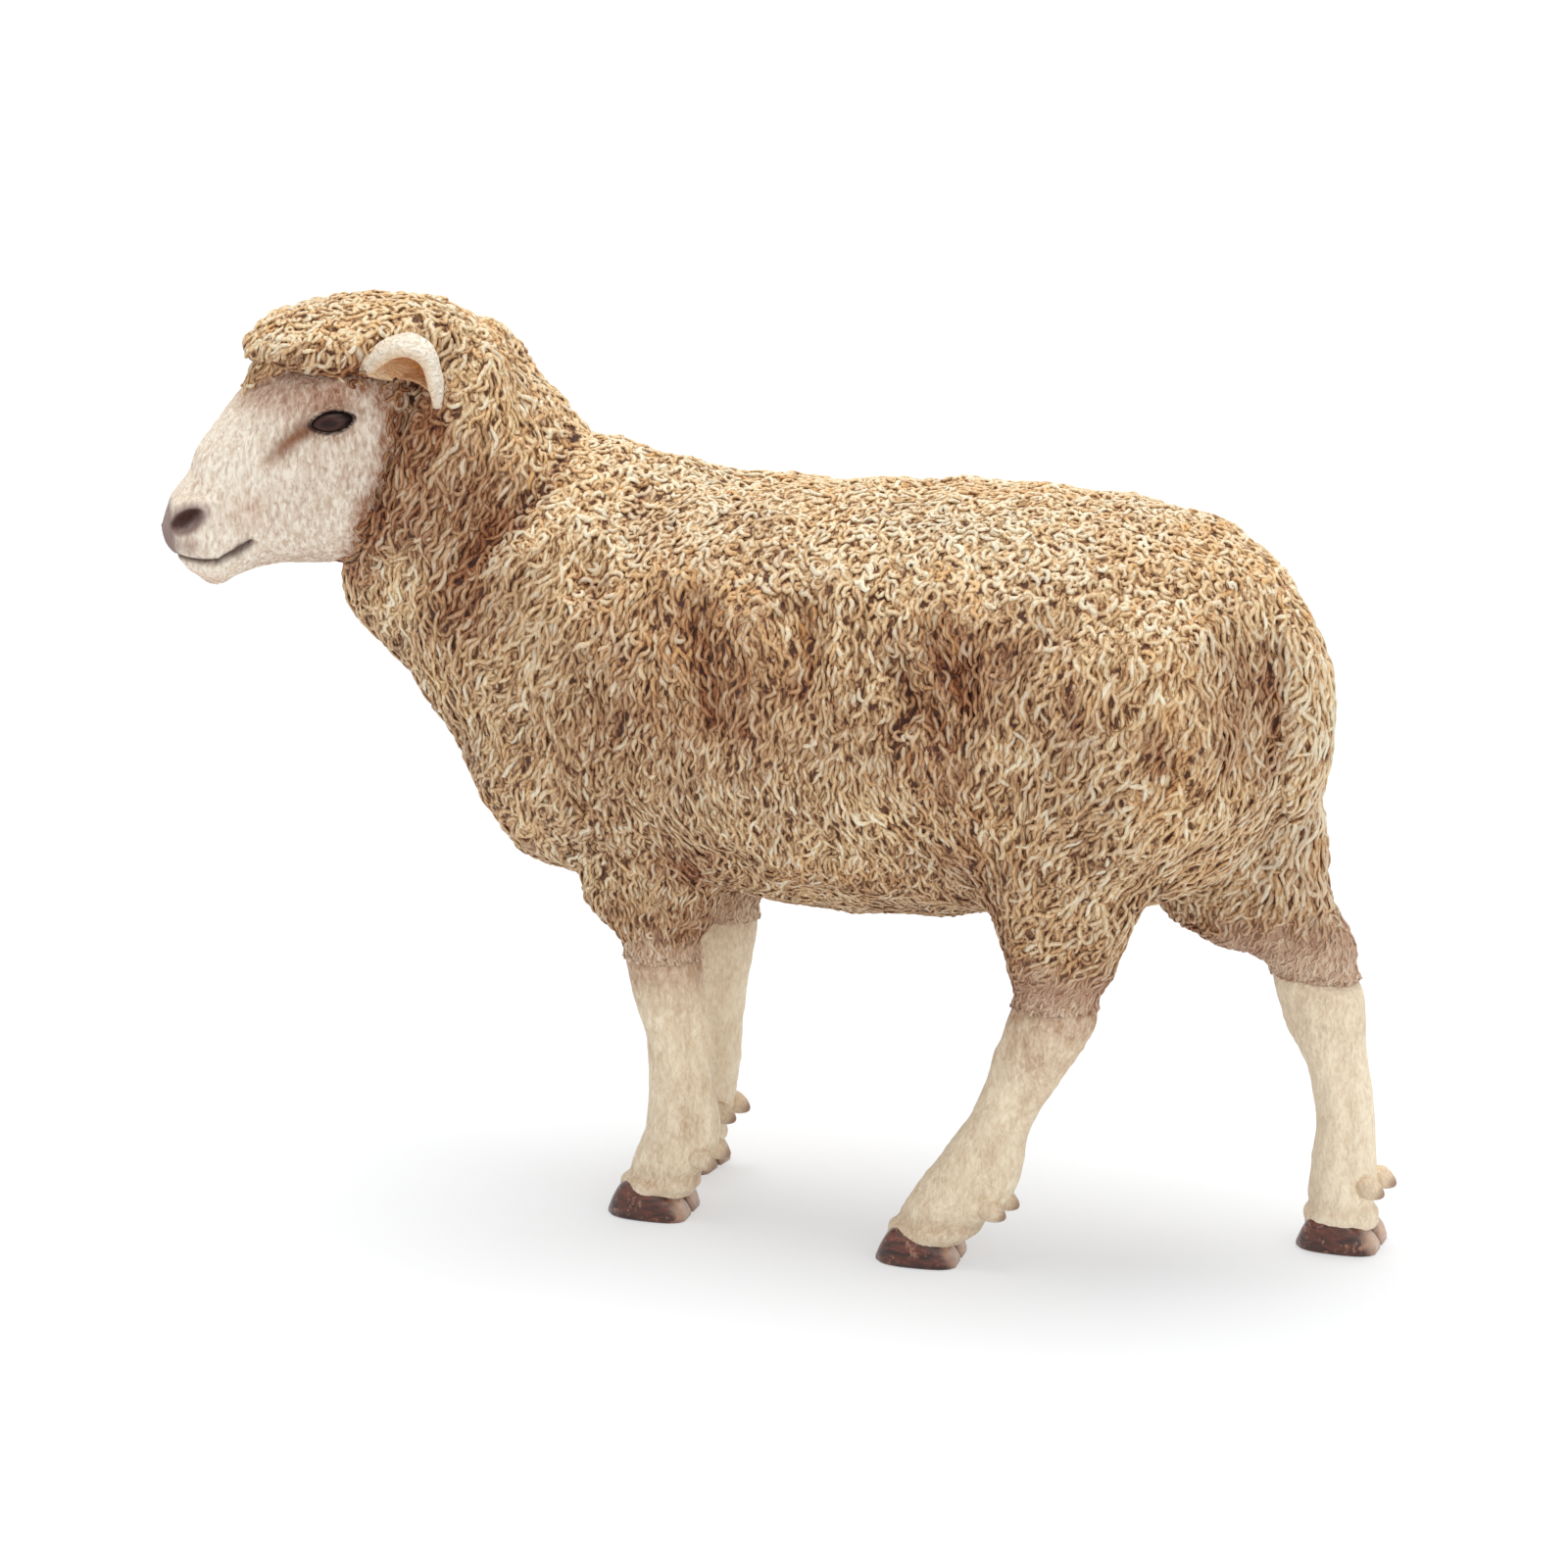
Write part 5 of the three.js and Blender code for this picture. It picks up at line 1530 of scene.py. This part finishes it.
def regionOf(points, normals):
    # which part of the fleece a curl belongs to: the last of these that it lies in
    x, y, z = points.T
    up = normals[:, 2] > 0.62
    flank, thigh, shoulder, neck = (
        np.where(y > 0, "left_" + part, "right_" + part).astype(object)
        for part in ("flank", "thigh", "shoulder", "neck")
    )
    names = flank
    for inside, part in (
        (up & (x < 12), "back"),
        (x < -22, thigh),
        (up & (x < -22), "rump"),
        ((normals[:, 2] < -0.5) | (z < 27), "belly"),
        (x > 8, shoulder),
        ((x > 12) & (z > 48), neck),
        ((toHead(points)[:, 2] > 6.5) & (x > 18), "crown"),
    ):
        names = np.where(inside, part, names)
    return names


def curlLooks(roots, top, small, random):
    # sizes drawn evenly between their limits; rings on top, waves and a few hooks elsewhere
    count = len(roots)
    limits = np.array([curlBuild[key] for key in ("length", "width", "thickness", "rise")])
    sizes = limits[:, 0] + (limits[:, 1] - limits[:, 0]) * random.random((count, 4))
    ringed = top + 0.25 * noise(roots, 5.0, 41) > 0.4
    hooked = ~ringed & (random.random(count) < 0.14)
    either = random.choice([-1, 1], count)
    drawn = np.maximum.reduce([lowFlank(roots), ease(roots[:, 0], 10, 16), ease(-roots[:, 0], 18, 26)])
    longer = np.where(ringed, 1.05, 1 + curlBuild["longer"] * drawn * (1 - top))
    fine = 1 - 0.8 * curlBuild["finer"] * lowFlank(roots)
    bend = random.normal(0, 0.5, count)
    bend = np.where(hooked, either * random.uniform(1.8, 3.2, count), bend)
    bend = np.where(ringed, either * random.uniform(3.0, 5.0, count), bend)
    return {
        "length": sizes[:, 0] * longer * small,
        "width": sizes[:, 1] * small**0.6,
        "thickness": sizes[:, 2] * small * fine,
        "rise": sizes[:, 3] * small * fine,
        "turn": random.normal(0, np.where(ringed, 1.2, 0.22)) + 0.4 * noise(roots, 4.0, 42),
        "curl": bend,
        "swing": random.uniform(0.3, 0.7, count),
        "beat": random.uniform(0.7, 1.4, count),
        "phase": random.random(count),
        # paler curls: random tone, and painted light where curls face up and on the painted light patches
        "bright": random.normal(0, 0.13, count) + 0.2 * top + spotsAt(roots, paintedLightPatches) - 0.03,
    }


def growCurls(points, triangles, target, smallness, seed, label=None):
    random = np.random.default_rng(seed)
    roots, faces = scatter(points, triangles, curlBuild["tried"], random)
    normals = unit(normalsOf(points, triangles)[triangles[faces]].mean(axis=1))
    crease = foldDepthAt(roots, normals, fleeceBuild["creaseWidth"])
    small = smallness(roots) * (crease < curlBuild["creaseBare"])
    roots, normals, small = (rows[small > 0] for rows in (roots, normals, small))
    way, top = lie(roots, normals)
    spaces = [(low + (high - low) * top) * small for low, high in (curlBuild["across"], curlBuild["along"])]
    kept = packed(len(roots), closePairs(roots, normals, way, *spaces), random)
    roots, normals, way, top, small = (rows[kept] for rows in (roots, normals, way, top, small))
    skins, height = curls(roots, normals, way, curlLooks(roots, top, small, random), target)
    wash = np.clip(washAndShadeAt(roots, normals) + random.normal(0, 0.05, len(roots)), 0, 1)
    # random tone, and painted light: curls facing up are warmer gold, the rest a little greyer
    toneAndTopLight = 0.5 * noise(roots, 6.0, 43) + random.normal(0, 0.25, len(roots)) + 0.25 * top - 0.1
    masks = {"wash": wash, "toneAndTopLight": np.clip(toneAndTopLight, -1, 1), "bare": 0.8 * shortHairAt(roots)}
    quads, fans = ringFaces(curlBuild["rings"], curlBuild["sides"])
    each = skins.shape[1]
    regions = regionOf(roots, normals) if label is None else np.full(len(roots), label, object)
    for name in sorted(set(regions)):
        mine = np.flatnonzero(regions == name)
        mine = mine[np.argsort(roots[mine, 0])]
        parts = np.array_split(mine, math.ceil(len(mine) / curlBuild["pieceMost"]))
        for number, part in enumerate(parts, 1):
            offset = np.arange(len(part))[:, None, None] * each
            faces = (quads + offset).reshape(-1, 4), (fans + offset).reshape(-1, 3)
            values = {key: np.repeat(mask[part], each) for key, mask in masks.items()}
            values = {"height": height[part].ravel(), **values}
            shape = (skins[part].reshape(-1, 3), *faces)
            addPiece(f"{name}_curls_{number}", shape, wool, (), values)
        say(f"{name}: {len(mine)} curls")


bareShape = makeMesh("bare", *joined(bareShapes))


def coatSmallness(roots):
    # none on face and ears, and ever shorter down to the hems
    low = 0.75 + 0.25 * ease(roots[:, 2], 25.0, 30.0)
    size = low + (curlBuild["hemSmall"] - low) * shortHairAt(roots)
    size *= 1 - curlBuild["finer"] * lowFlank(roots)
    return (gapTo(roots, bareShape) > curlBuild["bareMargin"]) * size


def fringeSmallness(roots):
    # on the face, shorter with the distance from the coat, further down over the brow than elsewhere
    hanging = overBrow(toHead(roots))
    reach = np.where(hanging > 0.5, *curlBuild["fringe"])
    reach = np.where((hanging < 0.5) & (capAt(roots) > 0.5), 0.25, reach)
    gap = gapTo(roots, undercoat)
    return np.where((gap < reach) & (gapTo(roots, earShape) > 0.4), 0.95 - 0.3 * gap / reach, 0)


def earSmallness(roots):
    # short ones where an ear goes into the coat
    return np.where(gapTo(roots, undercoat) < 0.6, 0.55, 0)


growCurls(coatPoints, coatTriangles, undercoat, coatSmallness, 7)
growCurls(tailPoints, tailTriangles, tailPiece, coatSmallness, 9, "tail")
growCurls(*bareShapes[0], facePiece, fringeSmallness, 12, "fringe")
for seed, (title, points, triangles, hood) in enumerate(earHoods, 14):
    growCurls(points, triangles, hood, earSmallness, seed, title + "_ear_root")
for helper in (bareShape, earShape):
    bpy.data.objects.remove(helper)
